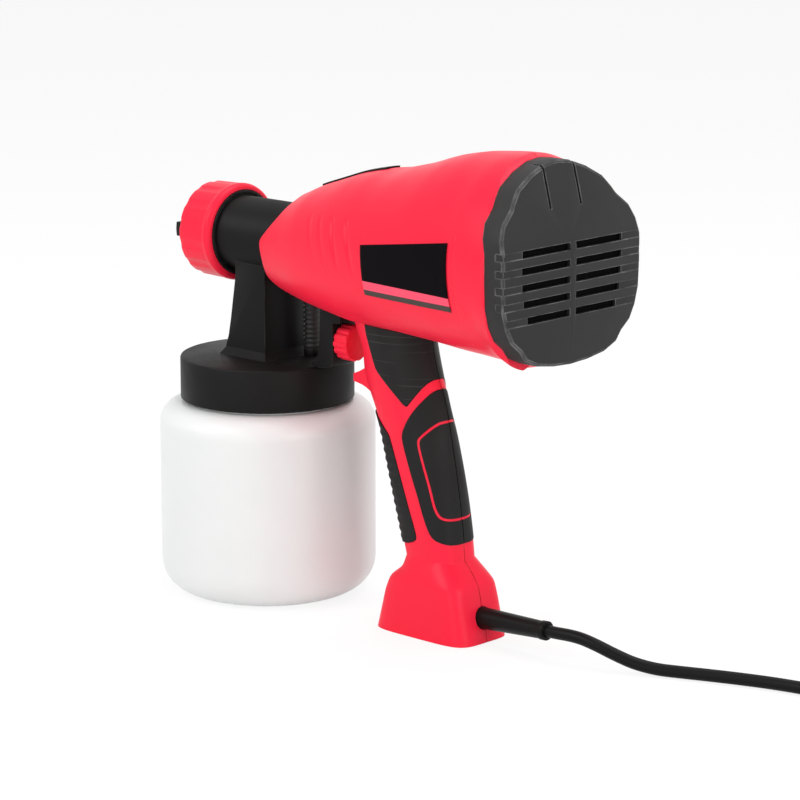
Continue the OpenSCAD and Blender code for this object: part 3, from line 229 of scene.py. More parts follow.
GRIP_LINE_W = 1.3
FRONT_GRIP_VIEW = [
    (60, 112), (84, 107.6), (92, 103), (98.7, 98), (100.2, 95), (104.6, 84),
    (108.9, 72.8), (117, 50.4), (116.6, 47.8), (114.5, 46.4), (108.6, 44.6),
    (90, 43), (60, 43),
]
# How far the front grip swells out, and its ripples: how many, their height and
# the level they stand on as shares of the swell, the sections' step and the span
GRIP_SWELL = 1.1
RIPPLES = 13
RIPPLE_HEIGHT = 0.34
RIPPLE_BASE = 0.75
RIPPLE_STEP = 0.4
RIPPLE_FROM = 46.0
RIPPLE_TO = 100.0

# The barrel's axis and its bore in the housing
BARREL_AXIS_Z = 182.6
BARREL_BORE_X = (-60.0, 50.0)
BARREL_BORE = 19.0
# The rear cover's seam: the height above which it leans, and by how many degrees
COVER_BEND_Z = 201.4
COVER_LEAN = 15.0
# Right half of the rear cover's outline, as y, z
COVER_HALF = [
    (0, 240.4), (9, 239.4), (20, 235.6), (30.3, 230), (34.6, 225.4), (37.6, 221.4),
    (45, 215.4), (48.2, 209), (49.2, 202), (49.2, 188), (48.6, 176), (46.2, 167.6),
    (42.4, 160.8), (36.4, 156.2), (32.6, 151.4), (24, 147.8), (12, 146), (0, 145.4),
]
# The housing tapers onto that outline: where from, how far outside it there
# and at the cover
TAPER_FROM = 180.0
TAPER_GROW = 6.0
TAPER_ROOM = 0.25
# The small lobe under the cover's left side, as y, z
LOBE_PLACE = (-23.0, 154.2)
LOBE_RADIUS = 10.2
LOBE_LENGTH = 20.0
# The trigger's slot and the flow knob's room behind it
SLOT_X = (43.4, 67.6)
SLOT_HALF = 9.8
SLOT_Z = (100.0, 172.0)
KNOB_ROOM_X = 71.8
KNOB_ROOM_HALF = 9.9
KNOB_ROOM_Z = (125.0, 150.0)
# The cup's hose and its hole in the housing
HOSE_PLACE = (19.5, 13.0)
HOSE_ROOM = 4.9
HOSE_ROOM_Z = (100.0, 176.0)
HOSE_SPAN = (125.7, 165.8)
HOSE_RADIUS = 4.15
HOSE_RIB = 0.4
HOSE_PITCH = 2.4
HOSE_BORE = 2.0
# One rib of the hose, as shares of its pitch and of its height
HOSE_WAVE = [(0.0, 0.0), (0.3, 0.0), (0.5, 1.0), (0.8, 1.0)]
# Where the lead comes out, its rise in degrees, and its sleeve's hole
LEAD_PLACE = (145.0, 0.0, 11.6)
LEAD_RISE = 2.4
RELIEF_RADIUS = 5.65
RELIEF_ROOM = (-9.0, 21.0)
# The strip let into the top of the housing
INSERT_X = (45.0, 88.0)
INSERT_HALF = 5.0
INSERT_Z = (205.0, 245.0)
INSERT_RISE = 0.9
INSERT_POCKET = 1.0
INSERT_SEAT = 0.8
INSERT_ROOM = 0.25
# The housing's screws, as x, z
SCREW_SPOTS = [
    (38, 205.8), (99.5, 157.5), (128, 227.5), (128, 153.2), (170, 235.3),
    (170, 148.7), (98, 112), (112, 41), (130, 24),
]
SCREW_HEAD_Y = 6.0
SCREW_TIP_Y = -8.0
SCREW_SIZES = {
    "Head radius": 2.8, "Head height": 2.4, "Shank radius": 1.5,
    "Shank length": SCREW_HEAD_Y - SCREW_TIP_Y, "Cross length": 3.4, "Cross width": 0.8,
}
SCREW_ROOM = 0.25
SCREW_BACK = 0.3
SCREW_HOLE = 60.0
# How far down the shank its middle is put; under a half, so that its top end
# is inside the head
SHANK_SHARE = 0.49

# The plate's corners on the left side, as x, z
PLATE_FOOT = ((105.9, 171.2), (166.0, 171.2))
PLATE_HEAD = ((104.4, 195.2), (165.8, 204.0))
# How far it stands proud, what is under it, how far its rim is let in, and its
# cells along and up
PLATE_T = 0.6
PLATE_SEAT = 0.05
PLATE_EDGE = 0.35
PLATE_CELLS = (48, 24)

# The ring nut's section, as along, radius
RING_PROFILE = [
    (-39.4, 16.8), (-39.4, 22.5), (-39.1, 23.3), (-38.5, 23.9), (-37.6, 24.1),
    (-34, 24.2), (-30, 24.3), (-26, 24.4), (-22.5, 24.5), (-21.0, 24.5), (-20.6, 24.75),
    (-19.6, 24.8), (-18.6, 24.5), (-17.5, 23.8), (-16.9, 22.9), (-16.9, 21.75),
    (-19.9, 21.75), (-19.9, 20.7), (-38.2, 20.7), (-38.2, 16.8),
]
# Its scooped grip: how many scoops, their radius and depth, where they end and
# fade, and the radius outside which they are cut
RING_FLUTES = 14
RING_FLUTE_R = 12.0
RING_FLUTE_DEPTH = 0.42
RING_FLUTE_END = -21.5
RING_FLUTE_FADE = 1.2
RING_OUTSIDE = 22.0

# The cup, with its foot's dish, its neck and its shoulder
CUP_RADIUS = 55.0
CUP_WALL = 1.8
CUP_CORNER = 17.0
CUP_DISH = 0.7
CUP_DISH_RADIUS = 30.0
CUP_DISH_EDGE = 34.0
NECK_RADIUS = 41.0
NECK_TOP = 117.3
NECK_EDGE = 0.5
SHOULDER = 12.0
SHOULDER_TOP = 99.0
SHOULDER_DROP = 11.0
SHOULDER_SPAN = 80.0
INNER_DROP = 1.6
CORNER_STEPS = 24
SHOULDER_STEPS = 16

# The mains lead, its listed route, and its coil
LEAD_RADIUS = 3.0
LEAD_SIDES = 16
LEAD_CUTS = 4
LEAD_ROUTE = [
    (189.1, 0, 13.4), (195, 0, 13.6), (202, 0.6, 13.8), (209, 1.8, 13.2),
    (217, 3.4, 11.2), (226, 6, 8), (235, 9.4, 5), (245, 13.6, 3.3), (256, 18.4, 3),
    (268, 23.4, 3), (282, 28.8, 3), (298, 34, 3), (316, 38, 3), (336, 40.6, 3),
    (358, 41.8, 3), (380, 42, 3), (403.9, 42, 3),
]
COIL_CENTRE = (410.0, -4.8)
COIL_OUTER = 46.8
COIL_PITCH = 6.5
COIL_TURNS = 7
COIL_STEPS = 36
COIL_TAIL = 28.0
COIL_GAP = 0.5

# How near points are that are one point, and the bend under which a face is flat
MERGE = 0.002
AXIS_MERGE = 0.001
FLAT_BEND = 0.6


# ------------------------------------------------------------------ meshes
def new_object(name, points, faces):
    """A mesh object from points in millimetres."""
    mesh = bpy.data.meshes.new(name)
    mesh.from_pydata([[c * MM for c in p] for p in points], [], faces)
    mesh.update()
    piece = bpy.data.objects.new(name, mesh)
    bpy.context.scene.collection.objects.link(piece)
    return piece


def mend_normals(piece):
    """Makes a closed mesh's normals point outwards."""
    edit = bmesh.new()
    edit.from_mesh(piece.data)
    bmesh.ops.recalc_face_normals(edit, faces=edit.faces)
    edit.to_mesh(piece.data)
    edit.free()
    return piece


def tube_mesh(name, rings, closed=False):
    """Joins rings of equal length into a skin, with an end face on each end."""
    count, sides = len(rings), len(rings[0])
    points = [p for ring in rings for p in ring]
    last = count if closed else count - 1
    faces = [
        (i * sides + k, i * sides + (k + 1) % sides,
         (i + 1) % count * sides + (k + 1) % sides, (i + 1) % count * sides + k)
        for i in range(last) for k in range(sides)
    ]
    if not closed:
        faces.append(tuple(reversed(range(sides))))
        faces.append(tuple((count - 1) * sides + k for k in range(sides)))
    return mend_normals(new_object(name, points, faces))


def prism(name, view, y_from=-FAR / 2, y_to=FAR / 2):
    """A side view, drawn as x, z, pushed along Y."""
    return tube_mesh(name, [[(x, y, z) for x, z in view] for y in (y_from, y_to)])


def box(name, low, high):
    """A box between two corners."""
    view = [(low[0], low[2]), (high[0], low[2]), (high[0], high[2]), (low[0], high[2])]
    return prism(name, view, low[1], high[1])


def turned(name, profile, place, axis="x", steps=192, lobes=None):
    """Turns a closed profile of (along, radius) round an axis through place.

    lobes, where given, takes an angle and the profile's point and returns
    how far that point is let in.
    """
    rings = []
    for i in range(steps):
        angle = 2 * math.pi * i / steps
        ring = []
        for along, radius in profile:
            r = radius - (lobes(angle, along, radius) if lobes else 0.0)
            across, up = r * math.cos(angle), r * math.sin(angle)
            if axis == "x":
                ring.append((place[0] + along, place[1] + across, place[2] + up))
            else:
                ring.append((place[0] + across, place[1] + up, place[2] + along))
        rings.append(ring)
    return tube_mesh(name, rings, closed=True)


def ring_round(centre, side, up, radius, steps):
    """Points round a centre, in the plane of two directions."""
    return [
        centre + side * radius * math.cos(2 * math.pi * k / steps)
        + up * radius * math.sin(2 * math.pi * k / steps) for k in range(steps)]


def rod(name, start, direction, length, radius, steps=64):
    """A solid cylinder from a point along a direction."""
    along = Vector(direction).normalized()
    side = along.orthogonal().normalized()
    up = along.cross(side)
    return tube_mesh(name, [
        ring_round(Vector(start) + along * at, side, up, radius, steps)
        for at in (0.0, length)])


def apply_modifiers(piece):
    """Turns a piece's modifiers into plain mesh."""
    graph = bpy.context.evaluated_depsgraph_get()
    mesh = bpy.data.meshes.new_from_object(piece.evaluated_get(graph))
    piece.modifiers.clear()
    old = piece.data
    piece.data = mesh
    bpy.data.meshes.remove(old)
    mesh.name = piece.name
    return piece


def boolean(piece, tool, operation="DIFFERENCE"):
    """Cuts, joins or crosses a piece with a tool, which is then removed."""
    modifier = piece.modifiers.new("boolean", "BOOLEAN")
    modifier.operation = operation
    modifier.solver = "MANIFOLD"
    modifier.object = tool
    bpy.context.view_layer.update()
    apply_modifiers(piece)
    if not piece.data.polygons:
        raise RuntimeError(f"nothing is left of {piece.name} after {tool.name}")
    old = tool.data
    bpy.data.objects.remove(tool)
    bpy.data.meshes.remove(old)
    return piece


def copy_of(piece, name):
    """A copy of a piece with its own mesh."""
    other = bpy.data.objects.new(name, piece.data.copy())
    bpy.context.scene.collection.objects.link(other)
    return other


def bevelled(piece, width, segments=2, angle=35):
    """Rounds the edges that are sharper than an angle."""
    modifier = piece.modifiers.new("bevel", "BEVEL")
    modifier.width = width * MM
    modifier.segments = segments
    modifier.limit_method = "ANGLE"
    modifier.angle_limit = math.radians(angle)
    modifier.harden_normals = False
    modifier.miter_outer = "MITER_ARC"
    bpy.context.view_layer.update()
    return apply_modifiers(piece)


def shade(piece, angle=32):
    """Smooth shading, with edges sharper than an angle kept."""
    piece.data.shade_smooth()
    piece.data.set_sharp_from_angle(angle=math.radians(angle))
    return piece


def place_piece(piece, body, nodes, material):
    """Gives a finished piece its material and body, and hides the nodes that it replaces."""
    piece.data.materials.clear()
    piece.data.materials.append(material)
    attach(piece, body)
    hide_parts(*nodes)
    return piece


def from_node(node, name, bevel=0.0, angle=30, segments=2):
    """A piece of its own from a node's shape, with its sharp edges rounded."""
    edit = bmesh.new()
    edit.from_mesh(NODES[node].data)
    bmesh.ops.remove_doubles(edit, verts=edit.verts, dist=MERGE * MM)
    bmesh.ops.dissolve_limit(
        edit, angle_limit=math.radians(FLAT_BEND), verts=edit.verts, edges=edit.edges)
    edit.verts.index_update()
    points = [v.co / MM for v in edit.verts]
    faces = [[v.index for v in f.verts] for f in edit.faces]
    edit.free()
    piece = mend_normals(new_object(name, points, faces))
    if bevel:
        bevelled(piece, bevel, segments, angle)
    return shade(piece, angle)


# ------------------------------------------------------------------- forms
def smooth_sections(sections, step, blur):
    """Sections at even steps, with the bends between them eased."""
    known = np.array(sections, float)
    count = int(round((known[-1, 0] - known[0, 0]) / step)) + 1
    places = np.linspace(known[0, 0], known[-1, 0], count)
    rows = np.column_stack(
        [np.interp(places, known[:, 0], known[:, k]) for k in range(1, known.shape[1])])
    reach = max(1, int(round(3 * blur / step)))
    weights = np.exp(-0.5 * (np.arange(-reach, reach + 1) * step / blur) ** 2)
    weights /= weights.sum()
    head = 2 * rows[0] - rows[reach:0:-1]
    tail = 2 * rows[-1] - rows[-2:-reach - 2:-1]
    padded = np.vstack([head, rows, tail])
    eased = np.column_stack(
        [np.convolve(padded[:, k], weights, "valid") for k in range(rows.shape[1])])
    return np.column_stack([places, eased])


def bow(value, exponent):
    """A superellipse's sine or cosine."""
    return math.copysign(abs(value) ** (2 / exponent), value)


def flare_depth(x, z):
    """How far the side is let in ahead of the flared rear end."""
    if x > FLARE_X:
        return 0.0
    inside = min(z - FLARE_Z[0], FLARE_Z[1] - z) / FLARE_EASE
    ends = min(1.0, max(0.0, inside))
    return FLARE_DEPTH * ends * math.exp((x - FLARE_X) / FLARE_FADE)


def crease_depth(x, z):
    """How far the housing's side is pressed in at a place."""
    fade = min(1.0, max(0.0, (z - CREASE_Z[0]) / CREASE_FADE[0])) * min(
        1.0, max(0.0, (CREASE_Z[1] - z) / CREASE_FADE[1]))
    shift = CREASE_RAKE * (CREASE_Z[1] - z)
    return fade * sum(
        depth * math.exp(-((x - at - shift) / half) ** 2) for at, depth, half in CREASES)


def body_ring(row, inset, steps, creased=False):
    """One section of the housing's barrel-shaped body."""
    x, half, top, bottom, middle, upper, lower = row
    ring = []
    for k in range(steps):
        angle = 2 * math.pi * (k + 0.5) / steps
        rise = math.sin(angle)
        exponent, height = (upper, top - middle) if rise >= 0 else (lower, middle - bottom)
        z = middle + (height - inset) * bow(rise, exponent)
        y = (half - inset) * bow(math.cos(angle), exponent)
        if creased:
            y -= math.copysign(crease_depth(x, z) + flare_depth(x, z), y)
        ring.append((x, y, z))
    return ring


def body_form(name, inset, settings, start=0.0, creased=False):
    """The housing's body, let in by a distance."""
    step = CREASE_STEP if creased else settings.loft_step / MM
    rows = [r for r in smooth_sections(BODY_SECTIONS, step, BODY_BLUR) if r[0] >= start]
    return tube_mesh(
        name, [body_ring(r, inset, settings.round_steps, creased) for r in rows])


def upright_ring(row, inset, steps, swell=0.0):
    """One section of the handle or the foot."""
    z, front, rear, half, ahead, behind = row
    front -= swell
    ring = []
    for k in range(steps):
        angle = 2 * math.pi * (k + 0.5) / steps
        exponent = ahead if math.cos(angle) < 0 else behind
        x = (front + rear) / 2 + ((rear - front) / 2 - inset) * bow(math.cos(angle), exponent)
        ring.append((x, (half - inset) * bow(math.sin(angle), exponent), z))
    return ring


def upright_form(name, inset, settings, sections=HANDLE_SECTIONS, blur=HANDLE_BLUR, swell=None):
    """The handle, or what other sections give, let in by a distance.

    swell, where given, takes a height and returns how far the front stands
    out there.
    """
    rows = smooth_sections(sections, RIPPLE_STEP if swell else settings.loft_step / MM, blur)
    return tube_mesh(name, [
        upright_ring(r, inset, settings.round_steps, swell(r[0]) if swell else 0.0)
        for r in rows])


def foot_form(name, inset, settings):
    """The flared foot of the handle, let in by a distance."""
    return upright_form(name, inset, settings, FOOT_SECTIONS, FOOT_BLUR)


def behind_cover(name, x):
    """Everything behind the rear cover's seam, which leans forward on top."""
    low, rise = -60.0, 90.0
    lean = rise * math.tan(math.radians(COVER_LEAN))
    view = [
        (x, low), (x, COVER_BEND_Z), (x - lean, COVER_BEND_Z + rise),
        (x + FAR, COVER_BEND_Z + rise), (x + FAR, low)]
    return prism(name, view)


def rear_keep(inset):
    """All in front of the rear taper, and what lies inside the taper."""
    keep = box("keep", (-FAR, -FAR, -FAR), (FAR, FAR, FAR))
    boolean(keep, behind_cover("behind", TAPER_FROM))
    outline = COVER_HALF + [(-y, z) for y, z in COVER_HALF[-2:0:-1]]
    slope = math.tan(math.radians(COVER_LEAN))
    ahead, behind = 1.0, 5.0
    rings = []
    for x, grow in ((TAPER_FROM - ahead, TAPER_GROW), (TAPER_FROM, TAPER_GROW),
                    (BODY_REAR, TAPER_ROOM), (BODY_REAR + behind, TAPER_ROOM)):
        rings.append([
            (x - slope * max(0.0, z - COVER_BEND_Z), y, z)
            for y, z in inset_view(outline, inset - grow)])
    return boolean(keep, tube_mesh("taper", rings), "UNION")


def inset_view(view, distance):
    """A side view's outline moved inwards."""
    count = len(view)
    area = sum(
        view[i][0] * view[(i + 1) % count][1] - view[(i + 1) % count][0] * view[i][1]
        for i in range(count))
    turn = 1 if area > 0 else -1
    moved = []
    for i in range(count):
        here = Vector(view[i])
        before = (here - Vector(view[i - 1])).normalized()
        after = (Vector(view[(i + 1) % count]) - here).normalized()
        normals = [Vector((-d[1], d[0])) * turn for d in (before, after)]
        middle = (normals[0] + normals[1]).normalized()
        moved.append(here + middle * distance / max(0.5, middle.dot(normals[0])))
    return [(p[0], p[1]) for p in moved]


def rounded_view(view, passes=2):
    """A side view with its corners cut into short arcs."""
    near, far = 0.2, 0.8
    for _ in range(passes):
        eased = []
        for i, here in enumerate(view):
            ahead = view[(i + 1) % len(view)]
            eased.append(tuple(far * a + near * b for a, b in zip(here, ahead)))
            eased.append(tuple(near * a + far * b for a, b in zip(here, ahead)))
        view = eased
    return view


# --------------------------------------------------------------- materials
def feed(tree, node, inputs):
    """Gives a node's inputs their values, or links them to other nodes."""
    for key, value in inputs.items():
        if isinstance(value, bpy.types.NodeSocket):
            tree.links.new(value, node.inputs[key])
        else:
            node.inputs[key].default_value = value


def add_node(tree, kind, inputs=None, **settings):
    """A shader or geometry node with its settings and inputs."""
    made = tree.nodes.new(kind)
    for key, value in settings.items():
        setattr(made, key, value)
    feed(tree, made, inputs or {})
    return made


def maths(tree, operation, first, second):
    """A sum on two numbers or sockets."""
    return add_node(
        tree, "ShaderNodeMath", {0: first, 1: second}, operation=operation).outputs["Value"]


def stretched(tree, value, low, high, start=0.0, end=1.0):
    """A value whose span from low to high is stretched from start to end."""
    return add_node(tree, "ShaderNodeMapRange", {
        "Value": value, "From Min": low, "From Max": high, "To Min": start,
        "To Max": end}).outputs["Result"]


def noise(tree, place, scale, detail, roughness=0.5):
    """Cloudy noise at a place."""
    return add_node(tree, "ShaderNodeTexNoise", {
        "Vector": place, "Scale": scale, "Detail": detail,
        "Roughness": roughness}).outputs["Fac"]


def mixed_colour(tree, factor, first, second):
    """A colour mix; first and second are colours or sockets."""
    return add_node(
        tree, "ShaderNodeMix", {MIX_FACTOR: factor, MIX_FIRST: first, MIX_SECOND: second},
        data_type="RGBA").outputs[MIX_RESULT]


def new_group(name, inputs, outputs, kind="ShaderNodeTree"):
    """A node group with its sockets; returns its tree and what its inputs give."""
    tree = bpy.data.node_groups.new(name, kind)
    for label, socket_type, default in inputs:
        socket = tree.interface.new_socket(label, in_out="INPUT", socket_type=socket_type)
        if default is not None:
            socket.default_value = default
    for label, socket_type in outputs:
        tree.interface.new_socket(label, in_out="OUTPUT", socket_type=socket_type)
    return tree, add_node(tree, "NodeGroupInput").outputs


def grain_group():
    """Moulded grain: a bumped normal, a slow mottle and where the edges are."""
    tree, given = new_group(
        "moulded_grain",
        [("Vector", "NodeSocketVector", None), ("Scale", "NodeSocketFloat", 1500.0),
         ("Depth", "NodeSocketFloat", 0.00004), ("Edge", "NodeSocketFloat", 0.0004)],
        [("Normal", "NodeSocketVector"), ("Mottle", "NodeSocketFloat"),
         ("Edges", "NodeSocketFloat")])
    fine = noise(tree, given["Vector"], given["Scale"], 3.0, roughness=0.6)
    slow = noise(tree, given["Vector"], 45.0, 4.0)
    soft = add_node(tree, "ShaderNodeBevel", {"Radius": given["Edge"]}, samples=4)
    plain = add_node(tree, "ShaderNodeNewGeometry")
    facing = add_node(
        tree, "ShaderNodeVectorMath",
        {0: soft.outputs["Normal"], 1: plain.outputs["Normal"]}, operation="DOT_PRODUCT")
    bump = add_node(tree, "ShaderNodeBump", {
        "Strength": 1.0, "Height": fine, "Distance": given["Depth"],
        "Normal": soft.outputs["Normal"]})
    add_node(tree, "NodeGroupOutput", {
        "Normal": bump.outputs["Normal"], "Mottle": slow,
        "Edges": stretched(tree, facing.outputs["Value"], 1.0, 0.8)})
    return tree


def worn_edge_highlight_group():
    """Edge marks that are partly worn plastic and partly a painted highlight: sharp edges made
    paler in patches.
    """
    tree, given = new_group(
        "handling",
        [("Vector", "NodeSocketVector", None), ("Edges", "NodeSocketFloat", 0.0),
         ("Amount", "NodeSocketFloat", 0.3)],
        [("Rubbed", "NodeSocketFloat")])
    patches = stretched(tree, noise(tree, given["Vector"], 120.0, 5.0), 0.30, 0.62)
    worn_and_lit = maths(tree, "MULTIPLY", patches, given["Edges"])
    add_node(tree, "NodeGroupOutput", {
        "Rubbed": maths(tree, "MULTIPLY", worn_and_lit, given["Amount"])})
    return tree


def shared_group(name, build):
    """A shared node group, made the first time that it is asked for."""
    return bpy.data.node_groups.get(name) or build()


def scaled(colour, factor):
    """A colour made darker or lighter, up to white."""
    return tuple(min(1.0, c * factor) for c in colour[:3]) + (1.0,)


def lightened(colour, amount):
    """A colour moved towards white."""
    return tuple(c + (1 - c) * amount for c in colour[:3]) + (1.0,)


def surface(name, colour, rough=(0.35, 0.5), grain=(1500.0, 0.00002), edge=0.0004,
            worn_lit_edges=0.25, pale=0.12, shift=0.06, shine=0.5, metal=0.0, shader=None):
    """A moulded or machined surface.

    rough is the lowest and highest roughness, grain its scale and depth in
    metres, edge the rounding of sharp edges in metres, worn_lit_edges how much
    of them is painted paler, partly as worn plastic and partly as a painted
    highlight, pale how light these edges go, shift how far the colour
    drifts, and shader what else the shader is given.
    """
    material = bpy.data.materials.get(FINISH + name)
    if material:
        return material
    material = bpy.data.materials.new(FINISH + name)
    material.use_nodes = True
    tree = material.node_tree
    place = add_node(tree, "ShaderNodeTexCoord").outputs["Object"]
    grained = add_node(
        tree, "ShaderNodeGroup", node_tree=shared_group("moulded_grain", grain_group))
    feed(tree, grained, {"Vector": place, "Scale": grain[0], "Depth": grain[1], "Edge": edge})
    found = grained.outputs
    # Sharp edges are painted paler in patches: partly worn plastic, partly a painted highlight
    # along the edges.
    worn_lit_edge_node = add_node(tree, "ShaderNodeGroup", node_tree=shared_group("handling", worn_edge_highlight_group))
    feed(tree, worn_lit_edge_node, {"Vector": place, "Edges": found["Edges"], "Amount": worn_lit_edges})
    drift = mixed_colour(
        tree, found["Mottle"], scaled(colour, 1 - shift), scaled(colour, 1 + shift))
    feed(tree, tree.nodes["Principled BSDF"], {
        "Base Color": mixed_colour(
            tree, worn_lit_edge_node.outputs["Rubbed"], drift, lightened(colour, pale)),
        "Roughness": stretched(tree, found["Mottle"], 0.3, 0.7, *rough),
        "Normal": found["Normal"], "Specular IOR Level": shine, "Metallic": metal,
        **(shader or {})})
    return material


def paint(name):
    """One of the colours that the user can set."""
    return tuple(getattr(bpy.context.scene.sprayer, name))


def red_plastic():
    """The housing's smooth red."""
    return surface("red_plastic", paint("red"), (0.30, 0.40), (900.0, 0.000006), worn_lit_edges=0.3,
                   pale=0.35, shift=0.03, shine=0.14)


def black_plastic():
    """Finely grained black whose sharp edges are painted paler in patches, partly as worn plastic
    and partly as a painted highlight.
    """
    return surface("black_plastic", paint("black"), (0.42, 0.56), (1800.0, 0.00002), worn_lit_edges=0.8,
                   pale=0.16, shine=0.11)


def cover_plastic():
    """The rear cover's coarser, paler black; its rims are painted pale as a painted highlight
    along its edges, with some worn plastic.
    """
    return surface("cover_plastic", CHARCOAL, (0.50, 0.62), (1500.0, 0.00005), edge=0.0007,
                   worn_lit_edges=1.0, pale=0.30, shine=0.18)


def pad_rubber():
    """Matt rubber of the grips."""
    return surface("pad_rubber", PAD_BLACK, (0.46, 0.60), (2200.0, 0.00003), pale=0.05,
                   shine=0.15)


def steel():
    """Bright machined steel."""
    return surface("steel", STEEL, (0.24, 0.36), (2500.0, 0.000004), pale=0.05, metal=1.0)


def brass():
    """Turned brass."""
    return surface("brass", BRASS, (0.26, 0.40), (2500.0, 0.000004), pale=0.05, metal=1.0)


def copper():
    """Copper of the windings and the commutator."""
    return surface("copper", COPPER, (0.25, 0.40), (1200.0, 0.00003), pale=0.05, metal=1.0)


def core_steel():
    """Dark stacked sheet steel."""
    return surface("core_steel", CORE_GREY, (0.40, 0.55), (1600.0, 0.00003), metal=1.0)


def carbon():
    """Pressed carbon of the brushes."""
    return surface("carbon", CARBON_GREY, (0.55, 0.70), (1800.0, 0.00003))


def inner_plastic():
    """Plain black plastic inside the housing."""
    return surface("inner_plastic", INNER_BLACK, (0.45, 0.60))


def fan_plastic():
    """Grey plastic of the fan wheel."""
    return surface("fan_plastic", FAN_GREY, (0.40, 0.55))


def foam():
    """Open black foam of the filter."""
    return surface("foam", FOAM_BLACK, (0.85, 0.98), (700.0, 0.0006), shine=0.05)


def capacitor_case():
    """Yellow case of the capacitor."""
    return surface("capacitor_case", CASE_YELLOW, (0.30, 0.42))


def seal_rubber():
    """Black rubber of the seals and the cup's hose."""
    return surface("seal_rubber", SEAL_BLACK, (0.55, 0.7))


def lead_rubber():
    """Smooth deep black rubber of the lead, its sleeve and its plug."""
    return surface("lead_rubber", LEAD_BLACK, (0.34, 0.46), (1400.0, 0.000012), pale=0.05,
                   shine=0.10)


def clear_plastic():
    """Pale plastic of the dip tube."""
    return surface("clear_plastic", TUBE_GREY, (0.30, 0.42))


def cup_plastic():
    """Milky plastic that light goes some way into."""
    return surface(
        "cup_plastic", paint("milk"), (0.32, 0.38), (260.0, 0.000003), worn_lit_edges=0.0, shift=0.02,
        shine=0.4, shader={
            "Subsurface Weight": 0.35, "Subsurface Radius": (0.012, 0.012, 0.012),
            "Subsurface Scale": 1.0})


def recolour(material, change):
    """Puts what change makes of a material's colour back on its shader."""
    shader_node = material.node_tree.nodes["Principled BSDF"]
    colour = shader_node.inputs["Base Color"].links[0].from_socket
    feed(material.node_tree, shader_node, {"Base Color": change(material.node_tree, colour)})
    return material


def streaked(tree, colour):
    """A colour with fine paler streaks that run level, in patches."""
    place = add_node(tree, "ShaderNodeTexCoord").outputs["Object"]
    stretch = add_node(
        tree, "ShaderNodeMapping", {"Vector": place, "Scale": (22.0, 22.0, 1300.0)})
    streaks = stretched(tree, noise(tree, stretch.outputs["Vector"], 1.0, 3.0), 0.60, 0.80)
    patches = noise(tree, place, 55.0, 2.0)
    return mixed_colour(
        tree, maths(tree, "MULTIPLY", streaks, patches), colour, STREAK_GREY)


def panel_plastic():
    """Semi-gloss black with fine paler streaks in patches."""
    return bpy.data.materials.get(FINISH + "panel_plastic") or recolour(
        surface("panel_plastic", PAD_BLACK, (0.38, 0.52), (1700.0, 0.00002), pale=0.1,
                shine=0.16), streaked)


def striped(tree, colour):
    """A colour with the plate's stripes along its foot."""
    plate = add_node(tree, "ShaderNodeUVMap", uv_map="plate")
    place = add_node(tree, "ShaderNodeSeparateXYZ", {"Vector": plate.outputs["UV"]}).outputs
    for left, right, ink in STRIPES:
        edge = stretched(tree, place["X"], 0.0, 1.0, left, right)
        below = maths(tree, "LESS_THAN", place["Y"], edge)
        colour = mixed_colour(tree, below, colour, ink)
    return colour


def label_print():
    """Black plate with a coloured and a dark stripe along its foot."""
    return bpy.data.materials.get(FINISH + "label_print") or recolour(
        surface("label_print", PLATE_BLACK, (0.26, 0.34), (700.0, 0.000004), worn_lit_edges=0.05,
                pale=0.05, shine=0.01), striped)


# ------------------------------------------------------------------ pieces
def lead_points():
    """The lead's route and its coil, in millimetres.

    The coil winds inwards on the floor and outwards again on top of that
    layer, and climbs over half a turn in between.
    """
    centre = COIL_CENTRE
    layer = 2 * LEAD_RADIUS + COIL_GAP
    points = [Vector(p) for p in LEAD_ROUTE]
    for i in range(COIL_TURNS * COIL_STEPS + 1):
        turn = i / COIL_STEPS
        radius = COIL_OUTER - COIL_PITCH * min(turn, COIL_TURNS - turn)
        climb = min(1.0, max(0.0, (turn - COIL_TURNS / 2) * 2 + 0.5))
        height = LEAD_RADIUS + layer * (1 - math.cos(math.pi * climb)) / 2
        angle = 2 * math.pi * turn
        points.append(Vector((
            centre[0] + radius * math.sin(angle), centre[1] + radius * math.cos(angle), height)))
    end = points[-1]
    points.append(end + Vector((2 * LEAD_RADIUS, 0, 0)))
    points.append(end + Vector((COIL_TAIL, 0, 0)))
    return points


def eased_path(points, cuts):
    """A smooth curve through points."""
    path = []
    for i in range(len(points) - 1):
        before = points[max(0, i - 1)]
        here, ahead = points[i], points[i + 1]
        after = points[min(len(points) - 1, i + 2)]
        for k in range(cuts):
            t = k / cuts
            path.append(0.5 * (
                2 * here + (ahead - before) * t
                + (2 * before - 5 * here + 4 * ahead - after) * t * t
                + (3 * here - before - 3 * ahead + after) * t ** 3))
    path.append(points[-1])
    return path


def make_lead():
    """The mains lead from its strain relief to its plug."""
    points = lead_points()
    laid = len(LEAD_ROUTE) + 1
    path = eased_path(points[:laid], LEAD_CUTS) + points[laid:]
    rings = []
    for i, here in enumerate(path):
        along = (path[min(i + 1, len(path) - 1)] - path[max(i - 1, 0)]).normalized()
        side = along.cross(Vector((0, 0, 1))).normalized()
        rings.append(ring_round(here, side, side.cross(along), LEAD_RADIUS, LEAD_SIDES))
    piece = shade(tube_mesh("mains_lead", rings), angle=50)
    place_piece(piece, "gun", ["power_cord", "cord_coil"], lead_rubber())


def side_block(name, side, seam):
    """Everything on one side of the middle seam."""
    low, high = (-FAR, -seam) if side < 0 else (seam, FAR)
    return box(name, (-FAR, low, -FAR), (FAR, high, FAR))


